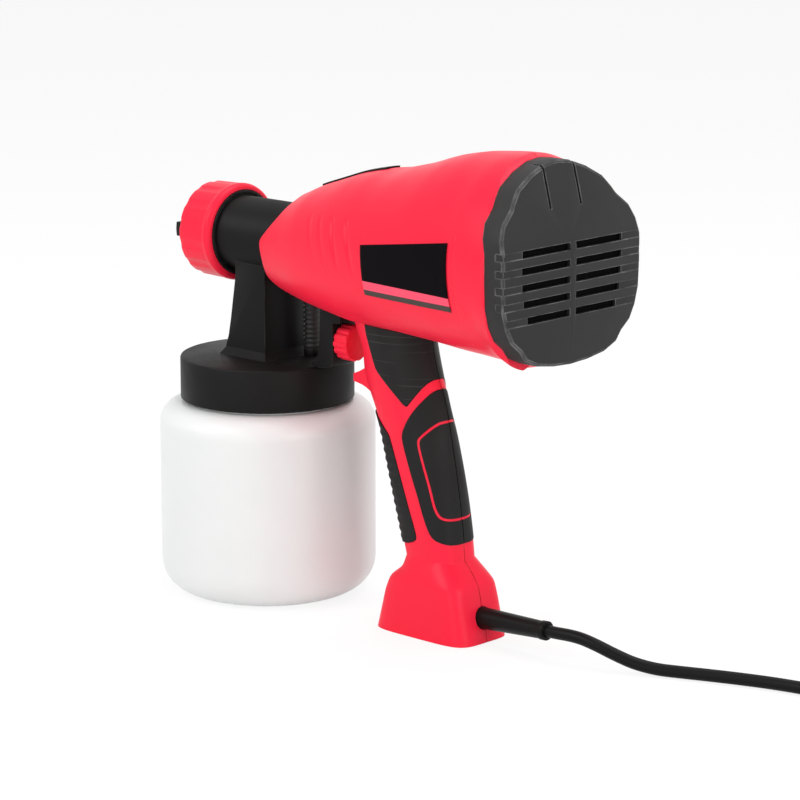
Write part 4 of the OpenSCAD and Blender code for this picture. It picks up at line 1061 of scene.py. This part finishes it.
def ripple(z):
    """How far the front grip's finger ripples stand out at a height."""
    share = (z - RIPPLE_FROM) / (RIPPLE_TO - RIPPLE_FROM)
    wave = math.sin(2 * math.pi * RIPPLES * share) if 0 < share < 1 else 0.0
    return GRIP_SWELL * (RIPPLE_BASE + RIPPLE_HEIGHT * wave)


def rear_grip_tool(name, view):
    """The rear grip's side view without the red line that runs round in it."""
    tool = prism(name, view)
    line = prism("line", rounded_view(GRIP_LINE_VIEW))
    core = prism(
        "core", rounded_view(inset_view(GRIP_LINE_VIEW, GRIP_LINE_W)), -FAR, FAR)
    return boolean(tool, boolean(line, core))


def pad_pockets(settings):
    """What the black pads take out of the handle."""
    pocket = prism("pockets", rounded_view(UPPER_PANEL_VIEW))
    boolean(pocket, rear_grip_tool("rear", rounded_view(REAR_GRIP_VIEW)), "UNION")
    boolean(pocket, prism("front", rounded_view(FRONT_GRIP_VIEW)), "UNION")
    boolean(pocket, upright_form("core", PAD_DEPTH, settings))
    boolean(pocket, body_form("body", -POCKET_CLEAR, settings))
    reach = SPUR_HALF + SPUR_CLEAR
    return boolean(pocket, prism("spur", SPUR_VIEW, -reach, reach))


def housing_outside(settings):
    """The outer form of both housing halves in one."""
    form = body_form("housing", 0.0, settings, creased=True)
    boolean(form, upright_form("handle", 0.0, settings), "UNION")
    boolean(form, foot_form("foot", 0.0, settings), "UNION")
    boolean(form, prism("spur", rounded_view(SPUR_VIEW), -SPUR_HALF, SPUR_HALF), "UNION")
    keep = rear_keep(0.0)
    lobe = rod("lobe", (TAPER_FROM - 1, *LOBE_PLACE), (1, 0, 0), LOBE_LENGTH, LOBE_RADIUS)
    return boolean(form, boolean(keep, lobe, "UNION"), "INTERSECT")


def hollow_out(form, settings):
    """Leaves the housing an even wall, and a floor in its foot."""
    inside = body_form("hollow", SHELL, settings, start=CAVITY_FROM)
    boolean(form, boolean(inside, rear_keep(SHELL), "INTERSECT"))
    boolean(form, upright_form("hollow", SHELL + PAD_DEPTH, settings))
    hollow = foot_form("hollow", SHELL, settings)
    boolean(hollow, box("floor", (0, -FAR, -FAR), (FAR, FAR, SHELL)))
    boolean(form, hollow)


def housing_form(settings):
    """Both housing halves in one, before the middle seam is cut."""
    form = housing_outside(settings)
    hollow_out(form, settings)
    boolean(form, prism("nose", rounded_view(NOSE_VIEW, passes=1)))
    ahead, behind = BARREL_BORE_X
    boolean(form, rod(
        "barrel", (ahead, 0, BARREL_AXIS_Z), (1, 0, 0), behind - ahead, BARREL_BORE, steps=128))
    low, high = HOSE_ROOM_Z
    boolean(form, rod("hose", (*HOSE_PLACE, low), (0, 0, 1), high - low, HOSE_ROOM))
    boolean(form, behind_cover("rear", BODY_REAR))
    boolean(form, box(
        "slot", (SLOT_X[0], -SLOT_HALF, SLOT_Z[0]), (SLOT_X[1], SLOT_HALF, SLOT_Z[1])))
    boolean(form, box(
        "knob_room", (SLOT_X[0], -KNOB_ROOM_HALF, KNOB_ROOM_Z[0]),
        (KNOB_ROOM_X, KNOB_ROOM_HALF, KNOB_ROOM_Z[1])))
    rise = math.radians(LEAD_RISE)
    along = Vector((math.cos(rise), 0, math.sin(rise)))
    start, end = RELIEF_ROOM
    boolean(form, rod(
        "relief", Vector(LEAD_PLACE) + start * along, along, end - start, RELIEF_RADIUS))
    boolean(form, pad_pockets(settings))
    insert = box(
        "insert", (INSERT_X[0] - INSERT_ROOM, -INSERT_HALF - INSERT_ROOM, INSERT_Z[0]),
        (INSERT_X[1] + INSERT_ROOM, INSERT_HALF + INSERT_ROOM, INSERT_Z[1]))
    boolean(insert, body_form("body", INSERT_POCKET, settings))
    return boolean(form, insert)


def seam_groove(settings):
    """The shallow groove that runs along the middle seam."""
    half = settings.seam / MM
    groove = box("groove", (-FAR, -half, -FAR), (FAR, half, FAR))
    for form in (body_form, upright_form, foot_form):
        boolean(groove, form("under", SEAM_DEPTH, settings))
    return groove


def screw_hole(x, z):
    """The recess and the bore of one housing screw."""
    return rod("hole", (x, SCREW_HEAD_Y - SCREW_BACK, z), (0, 1, 0), SCREW_HOLE,
               SCREW_SIZES["Head radius"] + SCREW_ROOM, steps=32)


def make_housing(settings):
    """The two red halves, with a hairline seam between them."""
    form = boolean(housing_form(settings), seam_groove(settings))
    for side, name in ((-1, "left"), (1, "right")):
        half = copy_of(form, f"housing_{name}_shell")
        boolean(half, side_block("side", side, SEAM_GAP), "INTERSECT")
        if side > 0:
            for x, z in SCREW_SPOTS:
                boolean(half, screw_hole(x, z))
        shade(half, angle=30)
        place_piece(half, "gun", [f"housing_{name}"], red_plastic())
    bpy.data.objects.remove(form)


def pad_skin(settings, swell=None):
    """The layer of the handle that the pads fill."""
    skin = upright_form("skin", -PAD_PROUD, settings, swell=swell)
    boolean(skin, upright_form("core", PAD_DEPTH - PAD_SEAT, settings))
    return boolean(skin, body_form("body", -PAD_CLEAR, settings))


def make_pads(settings):
    """The black panels and grips that are let into the handle."""
    gap = settings.pad_gap / MM
    panel = prism("panel", rounded_view(inset_view(UPPER_PANEL_VIEW, gap)))
    rear = rear_grip_tool("rear", rounded_view(inset_view(REAR_GRIP_VIEW, gap)))
    front = prism("front", rounded_view(inset_view(FRONT_GRIP_VIEW, gap)))
    for tool, name, swell, material, slot in (
            (panel, "upper_panel", None, panel_plastic(), "panel_plastic"),
            (rear, "rear_grip", None, pad_rubber(), "grip_rubber"),
            (front, "front_grip", ripple, pad_rubber(), "grip_rubber")):
        boolean(tool, pad_skin(settings, swell), "INTERSECT")
        boolean(tool, seam_groove(settings))
        for side, word in ((-1, "left"), (1, "right")):
            pad = copy_of(tool, f"{name}_{word}_pad")
            boolean(pad, side_block("side", side, SEAM_GAP), "INTERSECT")
            shade(pad, angle=30)
            place_piece(pad, "gun", [f"{name}_{word}"], material)
        bpy.data.objects.remove(tool)


def make_insert(settings):
    """The black strip let into the top of the housing."""
    piece = box("top_strip", (INSERT_X[0], -INSERT_HALF, INSERT_Z[0]),
                (INSERT_X[1], INSERT_HALF, INSERT_Z[1]))
    boolean(piece, body_form("skin", -INSERT_RISE, settings), "INTERSECT")
    boolean(piece, body_form("core", INSERT_SEAT, settings))
    bevelled(piece, 0.3, angle=40)
    place_piece(shade(piece), "gun", ["top_insert"], black_plastic())


def body_half_width(rows, x, z):
    """Half width of the housing's body at a place on its side."""
    values = [float(np.interp(x, rows[:, 0], rows[:, k])) for k in range(1, 7)]
    half, top, bottom, middle, upper, lower = values
    exponent, height = (upper, top - middle) if z >= middle else (lower, middle - bottom)
    return half * (1 - min(1.0, abs(z - middle) / height) ** exponent) ** (1 / exponent)


def plate_skin(sections, lift, edge_lift):
    """The plate's outer or inner points, row by row from its foot."""
    columns, rows = PLATE_CELLS
    skin = []
    for j in range(rows + 1):
        for i in range(columns + 1):
            u, v = i / columns, j / rows
            foot = [a + (b - a) * u for a, b in zip(*PLATE_FOOT)]
            head = [a + (b - a) * u for a, b in zip(*PLATE_HEAD)]
            x, z = (a + (b - a) * v for a, b in zip(foot, head))
            proud = edge_lift if i in (0, columns) or j in (0, rows) else lift
            skin.append((x, -body_half_width(sections, x, z) - proud, z))
    return skin


def make_label(settings):
    """The plate on the left side, with plain stripes and no lettering."""
    columns, rows = PLATE_CELLS
    sections = smooth_sections(BODY_SECTIONS, settings.loft_step / MM, BODY_BLUR)
    outer = plate_skin(sections, PLATE_T, PLATE_T - PLATE_EDGE)
    inner = plate_skin(sections, PLATE_SEAT, PLATE_SEAT)
    width, count = columns + 1, len(outer)
    quads = [(j * width + i, j * width + i + 1, (j + 1) * width + i + 1, (j + 1) * width + i)
             for j in range(rows) for i in range(columns)]
    rim = (
        list(range(width)) + [j * width + columns for j in range(1, rows + 1)]
        + [rows * width + i for i in range(columns - 1, -1, -1)]
        + [j * width for j in range(rows - 1, 0, -1)])
    faces = quads + [tuple(count + k for k in reversed(q)) for q in quads]
    faces += [(rim[i], count + rim[i], count + rim[(i + 1) % len(rim)], rim[(i + 1) % len(rim)])
              for i in range(len(rim))]
    piece = mend_normals(new_object("side_plate", outer + inner, faces))
    layer = piece.data.uv_layers.new(name="plate")
    for loop in piece.data.loops:
        place = loop.vertex_index % count
        layer.data[loop.index].uv = (place % width / columns, place // width / rows)
    place_piece(shade(piece), "gun", ["label_plate"], label_print())


def make_cover():
    """The vented rear cover."""
    piece = from_node("rear_cover", "vented_cover", bevel=0.35)
    place_piece(piece, "gun", ["rear_cover"], cover_plastic())


def hose_profile():
    """The ribbed hose's section, from its foot up and back down its bore."""
    profile = []
    height = HOSE_SPAN[0]
    while height < HOSE_SPAN[1] - HOSE_PITCH:
        for share, rise in HOSE_WAVE:
            profile.append((height + share * HOSE_PITCH, HOSE_RADIUS + rise * HOSE_RIB))
        height += HOSE_PITCH
    profile += [(HOSE_SPAN[1], HOSE_RADIUS), (HOSE_SPAN[1], HOSE_BORE)]
    return profile + [(HOSE_SPAN[0], HOSE_BORE)]


def make_spray_head():
    """Lid, column and barrel in one moulding, with the cup's valve and hose."""
    piece = from_node("spray_head", "barrel_and_lid", bevel=0.35, angle=28)
    place_piece(piece, "gun", ["spray_head"], black_plastic())
    valve = from_node("check_valve", "valve", bevel=0.2)
    place_piece(valve, "gun", ["check_valve"], black_plastic())
    hose = turned("ribbed_hose", hose_profile(), (*HOSE_PLACE, 0), axis="z", steps=64)
    place_piece(shade(hose, angle=50), "gun", ["air_hose"], seal_rubber())


def ring_flute(angle, along, radius):
    """How deep the ring nut's scooped grip is at a place."""
    if radius < RING_OUTSIDE or along > RING_FLUTE_END:
        return 0.0
    period = 2 * math.pi / RING_FLUTES
    turn = (angle / period) % 1.0 - 0.5
    centre = radius + RING_FLUTE_R - RING_FLUTE_DEPTH
    across = centre * math.sin(turn * period)
    if abs(across) >= RING_FLUTE_R:
        return 0.0
    reach = centre * math.cos(turn * period) - math.sqrt(RING_FLUTE_R ** 2 - across ** 2)
    fade = min(1.0, (RING_FLUTE_END - along) / RING_FLUTE_FADE)
    return max(0.0, radius - reach) * fade


def make_front_end():
    """Ring nut and air cap."""
    ring = turned(
        "grip_ring", RING_PROFILE, (0, 0, BARREL_AXIS_Z), steps=RING_FLUTES * 24,
        lobes=ring_flute)
    place_piece(shade(ring, angle=40), "ring", ["ring_nut"], red_plastic())
    cap = from_node("air_cap", "horned_cap", bevel=0.3)
    place_piece(cap, "cap", ["air_cap"], black_plastic())


def arc(centre, radius, start, end, steps, squeeze=1.0):
    """Points (height, radius) along an arc; squeeze flattens its height."""
    points = []
    for i in range(steps + 1):
        angle = math.radians(start + (end - start) * i / steps)
        points.append((
            centre[0] + radius * squeeze * math.sin(angle), centre[1] + radius * math.cos(angle)))
    return points


def cup_profile():
    """The cup's section, from the middle of its foot round and back inside."""
    inner = CUP_RADIUS - CUP_WALL
    neck_inner = NECK_RADIUS - CUP_WALL
    squeeze = SHOULDER_DROP / SHOULDER
    corner = CUP_CORNER
    outside = (SHOULDER_TOP - SHOULDER_DROP, CUP_RADIUS - SHOULDER)
    inside = (SHOULDER_TOP - SHOULDER_DROP - INNER_DROP, inner - SHOULDER)
    profile = [(CUP_DISH, 0), (CUP_DISH, CUP_DISH_RADIUS), (0, CUP_DISH_EDGE)]
    profile += arc((corner, CUP_RADIUS - corner), corner, -90, 0, CORNER_STEPS)
    profile += arc(outside, SHOULDER, 0, SHOULDER_SPAN, SHOULDER_STEPS, squeeze)
    profile += [(SHOULDER_TOP, NECK_RADIUS), (NECK_TOP - NECK_EDGE, NECK_RADIUS),
                (NECK_TOP, NECK_RADIUS - NECK_EDGE), (NECK_TOP, neck_inner),
                (SHOULDER_TOP - 1, neck_inner)]
    profile += arc(inside, SHOULDER, SHOULDER_SPAN, 0, SHOULDER_STEPS, squeeze)
    profile += arc((corner, CUP_RADIUS - corner), corner - CUP_WALL, 0, -90, CORNER_STEPS)
    return profile + [(CUP_WALL, 0)]


def merge_points(piece):
    """Joins the points that lie on each other, as at a turned piece's axis."""
    edit = bmesh.new()
    edit.from_mesh(piece.data)
    bmesh.ops.remove_doubles(edit, verts=edit.verts, dist=AXIS_MERGE * MM)
    bmesh.ops.recalc_face_normals(edit, faces=edit.faces)
    edit.to_mesh(piece.data)
    edit.free()
    return piece


def make_cup():
    """The milky cup under the lid."""
    cup = merge_points(turned("milky_cup", cup_profile(), (0, 0, 0), axis="z", steps=256))
    place_piece(shade(cup, angle=40), "cup", ["paint_cup"], cup_plastic())


def make_trigger():
    """Trigger and flow knob."""
    trigger = from_node("trigger", "finger_trigger", bevel=0.8, segments=3)
    place_piece(trigger, "trigger", ["trigger"], black_plastic())
    knob = from_node("flow_knob", "fluted_knob", bevel=0.3)
    place_piece(knob, "knob", ["flow_knob"], red_plastic())


def make_relief():
    """The strain relief's sleeve."""
    piece = from_node("strain_relief", "lead_sleeve", bevel=0.3)
    place_piece(piece, "gun", ["strain_relief"], lead_rubber())


def raised(tree, shape, height):
    """A shape of a node tree moved up by a height."""
    place = add_node(tree, "ShaderNodeCombineXYZ", {"Z": height})
    return add_node(tree, "GeometryNodeTransform", {
        "Geometry": shape, "Translation": place.outputs["Vector"]}).outputs["Geometry"]


def screw_cylinder(tree, given, part, sides):
    """The screw's head or its shank, round the middle of its height."""
    size = "Head height" if part == "Head" else "Shank length"
    return add_node(tree, "GeometryNodeMeshCylinder", {
        "Vertices": sides, "Radius": given[f"{part} radius"],
        "Depth": given[size]}).outputs["Mesh"]


def screw_group():
    """Geometry nodes that put a cross-headed screw on each point."""
    tree, given = new_group(
        "housing_screws",
        [("Points", "NodeSocketGeometry", None), ("Material", "NodeSocketMaterial", None)]
        + [(label, "NodeSocketFloat", size * MM) for label, size in SCREW_SIZES.items()],
        [("Geometry", "NodeSocketGeometry")], "GeometryNodeTree")
    head = screw_cylinder(tree, given, "Head", 48)
    shank = screw_cylinder(tree, given, "Shank", 32)
    head = raised(tree, head, maths(tree, "MULTIPLY", given["Head height"], 0.5))
    shank = raised(tree, shank, maths(tree, "MULTIPLY", given["Shank length"], -SHANK_SHARE))
    cut = add_node(tree, "GeometryNodeMeshBoolean", {"Mesh 1": head}, operation="DIFFERENCE")
    for x, y in (("Cross length", "Cross width"), ("Cross width", "Cross length")):
        size = add_node(tree, "ShaderNodeCombineXYZ", {
            "X": given[x], "Y": given[y], "Z": given["Head height"]})
        blade = add_node(tree, "GeometryNodeMeshCube", {"Size": size.outputs["Vector"]})
        feed(tree, cut, {
            "Mesh 2": raised(tree, blade.outputs["Mesh"], given["Head height"])})
    both = add_node(tree, "GeometryNodeJoinGeometry", {"Geometry": cut.outputs["Mesh"]})
    feed(tree, both, {"Geometry": shank})
    placed = add_node(tree, "GeometryNodeInstanceOnPoints", {
        "Points": given["Points"], "Instance": both.outputs["Geometry"],
        "Rotation": (-math.pi / 2, 0.0, 0.0)})
    real = add_node(
        tree, "GeometryNodeRealizeInstances", {"Geometry": placed.outputs["Instances"]})
    painted = add_node(tree, "GeometryNodeSetMaterial", {
        "Geometry": real.outputs["Geometry"], "Material": given["Material"]})
    add_node(tree, "NodeGroupOutput", {"Geometry": painted.outputs["Geometry"]})
    return tree


def make_screws():
    """The housing's screws, in their recesses on the right side."""
    spots = new_object("cross_screws", [(x, SCREW_HEAD_Y, z) for x, z in SCREW_SPOTS], [])
    modifier = spots.modifiers.new("screws", "NODES")
    modifier.node_group = shared_group("housing_screws", screw_group)
    values = {label: size * MM for label, size in SCREW_SIZES.items()}
    values["Material"] = steel()
    for item in modifier.node_group.interface.items_tree:
        if item.in_out == "INPUT" and item.name in values:
            modifier[item.identifier] = values[item.name]
    bpy.context.view_layer.update()
    apply_modifiers(spots)
    place_piece(shade(spots), "gun", ["housing_screws"], steel())


# Nodes that keep their own shape: material slot to material
SLOT_FINISH = {
    "black_plastic": black_plastic, "red_plastic": red_plastic, "steel": steel,
    "plated_steel": steel, "brass": brass, "copper": copper, "core_steel": core_steel,
    "carbon": carbon, "inner_plastic": inner_plastic, "fan_plastic": fan_plastic,
    "foam": foam, "capacitor_case": capacitor_case, "seal_rubber": seal_rubber,
    "lead_rubber": lead_rubber, "clear_plastic": clear_plastic,
}


def finish_nodes():
    """Gives every node that still shows its procedural material."""
    for row in frame["record"]["subparts"]:
        node = NODES[row["node"]]
        if not node.hide_render:
            node.data.materials.clear()
            node.data.materials.append(SLOT_FINISH[row["material_slot"]]())


# ------------------------------------------------------------------- stage
def make_camera():
    """The camera, at the angle that shows the sprayer from behind its left side."""
    camera = bpy.data.objects.new("camera", bpy.data.cameras.new("camera"))
    bpy.context.scene.collection.objects.link(camera)
    camera.location = CAMERA_PLACE
    camera.rotation_euler = (math.radians(CAMERA_TILT), 0, math.radians(CAMERA_TURN))
    camera.data.lens = CAMERA_LENS
    camera.data.sensor_width = CAMERA_SENSOR
    camera.data.clip_start, camera.data.clip_end = CAMERA_CLIP
    bpy.context.scene.camera = camera


def soft_light(name, place, size, power):
    """A square softbox that points at the sprayer."""
    lamp = bpy.data.lights.new(name, "AREA")
    lamp.size = size
    lamp.energy = power
    holder = bpy.data.objects.new(name, lamp)
    bpy.context.scene.collection.objects.link(holder)
    holder.location = place
    aim = Vector(LIGHT_AIM) - Vector(place)
    holder.rotation_euler = aim.to_track_quat("-Z", "Y").to_euler()


def seen_directly(tree):
    """1 for rays that show the surroundings themselves, to the eye or in gloss."""
    rays = add_node(tree, "ShaderNodeLightPath").outputs
    seen = maths(tree, "MAXIMUM", rays["Is Camera Ray"], rays["Is Glossy Ray"])
    return maths(tree, "MAXIMUM", seen, rays["Is Transmission Ray"])


def floor_paper():
    """White paper that glows a little by itself and still takes a shadow."""
    material = bpy.data.materials.new("floor_paper")
    material.use_nodes = True
    tree = material.node_tree
    paper = tree.nodes["Principled BSDF"]
    feed(tree, paper, {"Base Color": PAPER, "Roughness": 0.9, "Specular IOR Level": 0.1})
    glow = add_node(tree, "ShaderNodeEmission", {"Color": WHITE, "Strength": FLOOR_LIGHT})
    mix = add_node(tree, "ShaderNodeMixShader", {
        0: maths(tree, "MULTIPLY", seen_directly(tree), FLOOR_GLOW),
        1: paper.outputs["BSDF"], 2: glow.outputs["Emission"]})
    feed(tree, tree.nodes["Material Output"], {"Surface": mix.outputs["Shader"]})
    return material


def make_stage():
    """Pale floor, white surroundings and soft studio light."""
    reach, low = FLOOR_HALF, -FLOOR_DROP
    floor = new_object(
        "floor", [(-reach, -reach, low), (reach, -reach, low), (reach, reach, low),
                  (-reach, reach, low)], [(0, 1, 2, 3)])
    floor.data.materials.append(floor_paper())
    world = bpy.data.worlds.new("studio")
    world.use_nodes = True
    bpy.context.scene.world = world
    tree = world.node_tree
    feed(tree, tree.nodes["Background"], {
        "Color": WHITE,
        "Strength": stretched(tree, seen_directly(tree), 0.0, 1.0, SURROUND_LIGHT, 1.0)})
    for name, (place, size, power) in LIGHTS.items():
        soft_light(name, place, size, power)
    bpy.context.scene.view_settings.view_transform = "Standard"


# --------------------------------------------------------------- operators
class SprayerSettings(bpy.types.PropertyGroup):
    """What the pieces are built with."""
    round_steps: bpy.props.IntProperty(
        name="Points round a section", default=144, min=48, max=256,
        description="How many points go round each section of the housing and the handle")
    loft_step: bpy.props.FloatProperty(
        name="Distance between sections", default=1.5 * MM, min=0.5 * MM, max=6.0 * MM,
        unit="LENGTH",
        description="How far apart the sections of the housing and the handle lie")
    seam: bpy.props.FloatProperty(
        name="Half of the seam's groove", default=0.3 * MM, min=0.05 * MM, max=0.5 * MM,
        unit="LENGTH",
        description="Half the width of the groove along the middle seam")
    pad_gap: bpy.props.FloatProperty(
        name="Gap round a pad", default=0.25 * MM, min=0.05 * MM, max=0.6 * MM,
        unit="LENGTH",
        description="Gap between the black pads and the red plastic round them")
    red: bpy.props.FloatVectorProperty(
        name="Housing", default=RED, size=4, min=0.0, max=1.0, subtype="COLOR",
        description="Colour of the housing, the ring nut and the flow knob")
    black: bpy.props.FloatVectorProperty(
        name="Spray head", default=BLACK, size=4, min=0.0, max=1.0, subtype="COLOR",
        description="Colour of the spray head, the trigger and the top strip")
    milk: bpy.props.FloatVectorProperty(
        name="Cup", default=MILK, size=4, min=0.0, max=1.0, subtype="COLOR",
        description="Colour of the cup")


class SPRAYER_OT_camera(bpy.types.Operator):
    """Place the camera"""
    bl_idname = "sprayer.camera"
    bl_label = "Camera"

    def execute(self, context):
        make_camera()
        return {"FINISHED"}


class SPRAYER_OT_lead(bpy.types.Operator):
    """Lay the mains lead and its coil"""
    bl_idname = "sprayer.lead"
    bl_label = "Mains lead"

    def execute(self, context):
        make_lead()
        make_relief()
        return {"FINISHED"}


class SPRAYER_OT_housing(bpy.types.Operator):
    """Build the red housing halves"""
    bl_idname = "sprayer.housing"
    bl_label = "Housing"

    def execute(self, context):
        make_housing(context.scene.sprayer)
        make_insert(context.scene.sprayer)
        return {"FINISHED"}


class SPRAYER_OT_pads(bpy.types.Operator):
    """Build the handle's black panels and grips"""
    bl_idname = "sprayer.pads"
    bl_label = "Handle pads"

    def execute(self, context):
        make_pads(context.scene.sprayer)
        return {"FINISHED"}


class SPRAYER_OT_label(bpy.types.Operator):
    """Build the plain side plate"""
    bl_idname = "sprayer.label"
    bl_label = "Side plate"

    def execute(self, context):
        make_label(context.scene.sprayer)
        return {"FINISHED"}


class SPRAYER_OT_cover(bpy.types.Operator):
    """Build the rear cover"""
    bl_idname = "sprayer.cover"
    bl_label = "Rear cover"

    def execute(self, context):
        make_cover()
        return {"FINISHED"}


class SPRAYER_OT_spray_head(bpy.types.Operator):
    """Build the lid, column and barrel"""
    bl_idname = "sprayer.spray_head"
    bl_label = "Spray head"

    def execute(self, context):
        make_spray_head()
        return {"FINISHED"}


class SPRAYER_OT_front_end(bpy.types.Operator):
    """Build the ring nut and the air cap"""
    bl_idname = "sprayer.front_end"
    bl_label = "Front end"

    def execute(self, context):
        make_front_end()
        return {"FINISHED"}


class SPRAYER_OT_cup(bpy.types.Operator):
    """Build the cup"""
    bl_idname = "sprayer.cup"
    bl_label = "Cup"

    def execute(self, context):
        make_cup()
        return {"FINISHED"}


class SPRAYER_OT_trigger(bpy.types.Operator):
    """Build the trigger and the flow knob"""
    bl_idname = "sprayer.trigger"
    bl_label = "Trigger"

    def execute(self, context):
        make_trigger()
        return {"FINISHED"}


class SPRAYER_OT_screws(bpy.types.Operator):
    """Build the housing screws"""
    bl_idname = "sprayer.screws"
    bl_label = "Screws"

    def execute(self, context):
        make_screws()
        return {"FINISHED"}


class SPRAYER_OT_finish_nodes(bpy.types.Operator):
    """Give the remaining nodes their materials"""
    bl_idname = "sprayer.finish_nodes"
    bl_label = "Inner pieces"

    def execute(self, context):
        finish_nodes()
        return {"FINISHED"}


class SPRAYER_OT_stage(bpy.types.Operator):
    """Build the floor, the surroundings and the lights"""
    bl_idname = "sprayer.stage"
    bl_label = "Stage"

    def execute(self, context):
        make_stage()
        return {"FINISHED"}


STEPS = ["camera", "lead", "housing", "pads", "label", "cover", "spray_head", "front_end",
         "cup", "trigger", "screws", "finish_nodes", "stage"]


class SPRAYER_PT_panel(bpy.types.Panel):
    """The sprayer's settings and steps"""
    bl_idname = "SPRAYER_PT_panel"
    bl_label = "Paint sprayer"
    bl_space_type = "VIEW_3D"
    bl_region_type = "UI"
    bl_category = "Sprayer"

    def draw(self, context):
        for key in SprayerSettings.__annotations__:
            self.layout.prop(context.scene.sprayer, key)
        for step in STEPS:
            self.layout.operator(f"sprayer.{step}")


CLASSES = [
    SprayerSettings, SPRAYER_OT_camera, SPRAYER_OT_lead, SPRAYER_OT_housing, SPRAYER_OT_pads,
    SPRAYER_OT_label, SPRAYER_OT_cover, SPRAYER_OT_spray_head, SPRAYER_OT_front_end,
    SPRAYER_OT_cup, SPRAYER_OT_trigger, SPRAYER_OT_screws, SPRAYER_OT_finish_nodes,
    SPRAYER_OT_stage, SPRAYER_PT_panel,
]


def register():
    """Registers the classes and the scene's settings."""
    for item in CLASSES:
        bpy.utils.register_class(item)
    bpy.types.Scene.sprayer = bpy.props.PointerProperty(type=SprayerSettings)


def unregister():
    """Undoes what register does."""
    del bpy.types.Scene.sprayer
    for item in reversed(CLASSES):
        bpy.utils.unregister_class(item)


def main():
    """Builds every piece in order."""
    register()
    for step in STEPS:
        if getattr(bpy.ops.sprayer, step)() != {"FINISHED"}:
            raise RuntimeError(f"{step} did not finish")


if __name__ == "__main__":
    main()
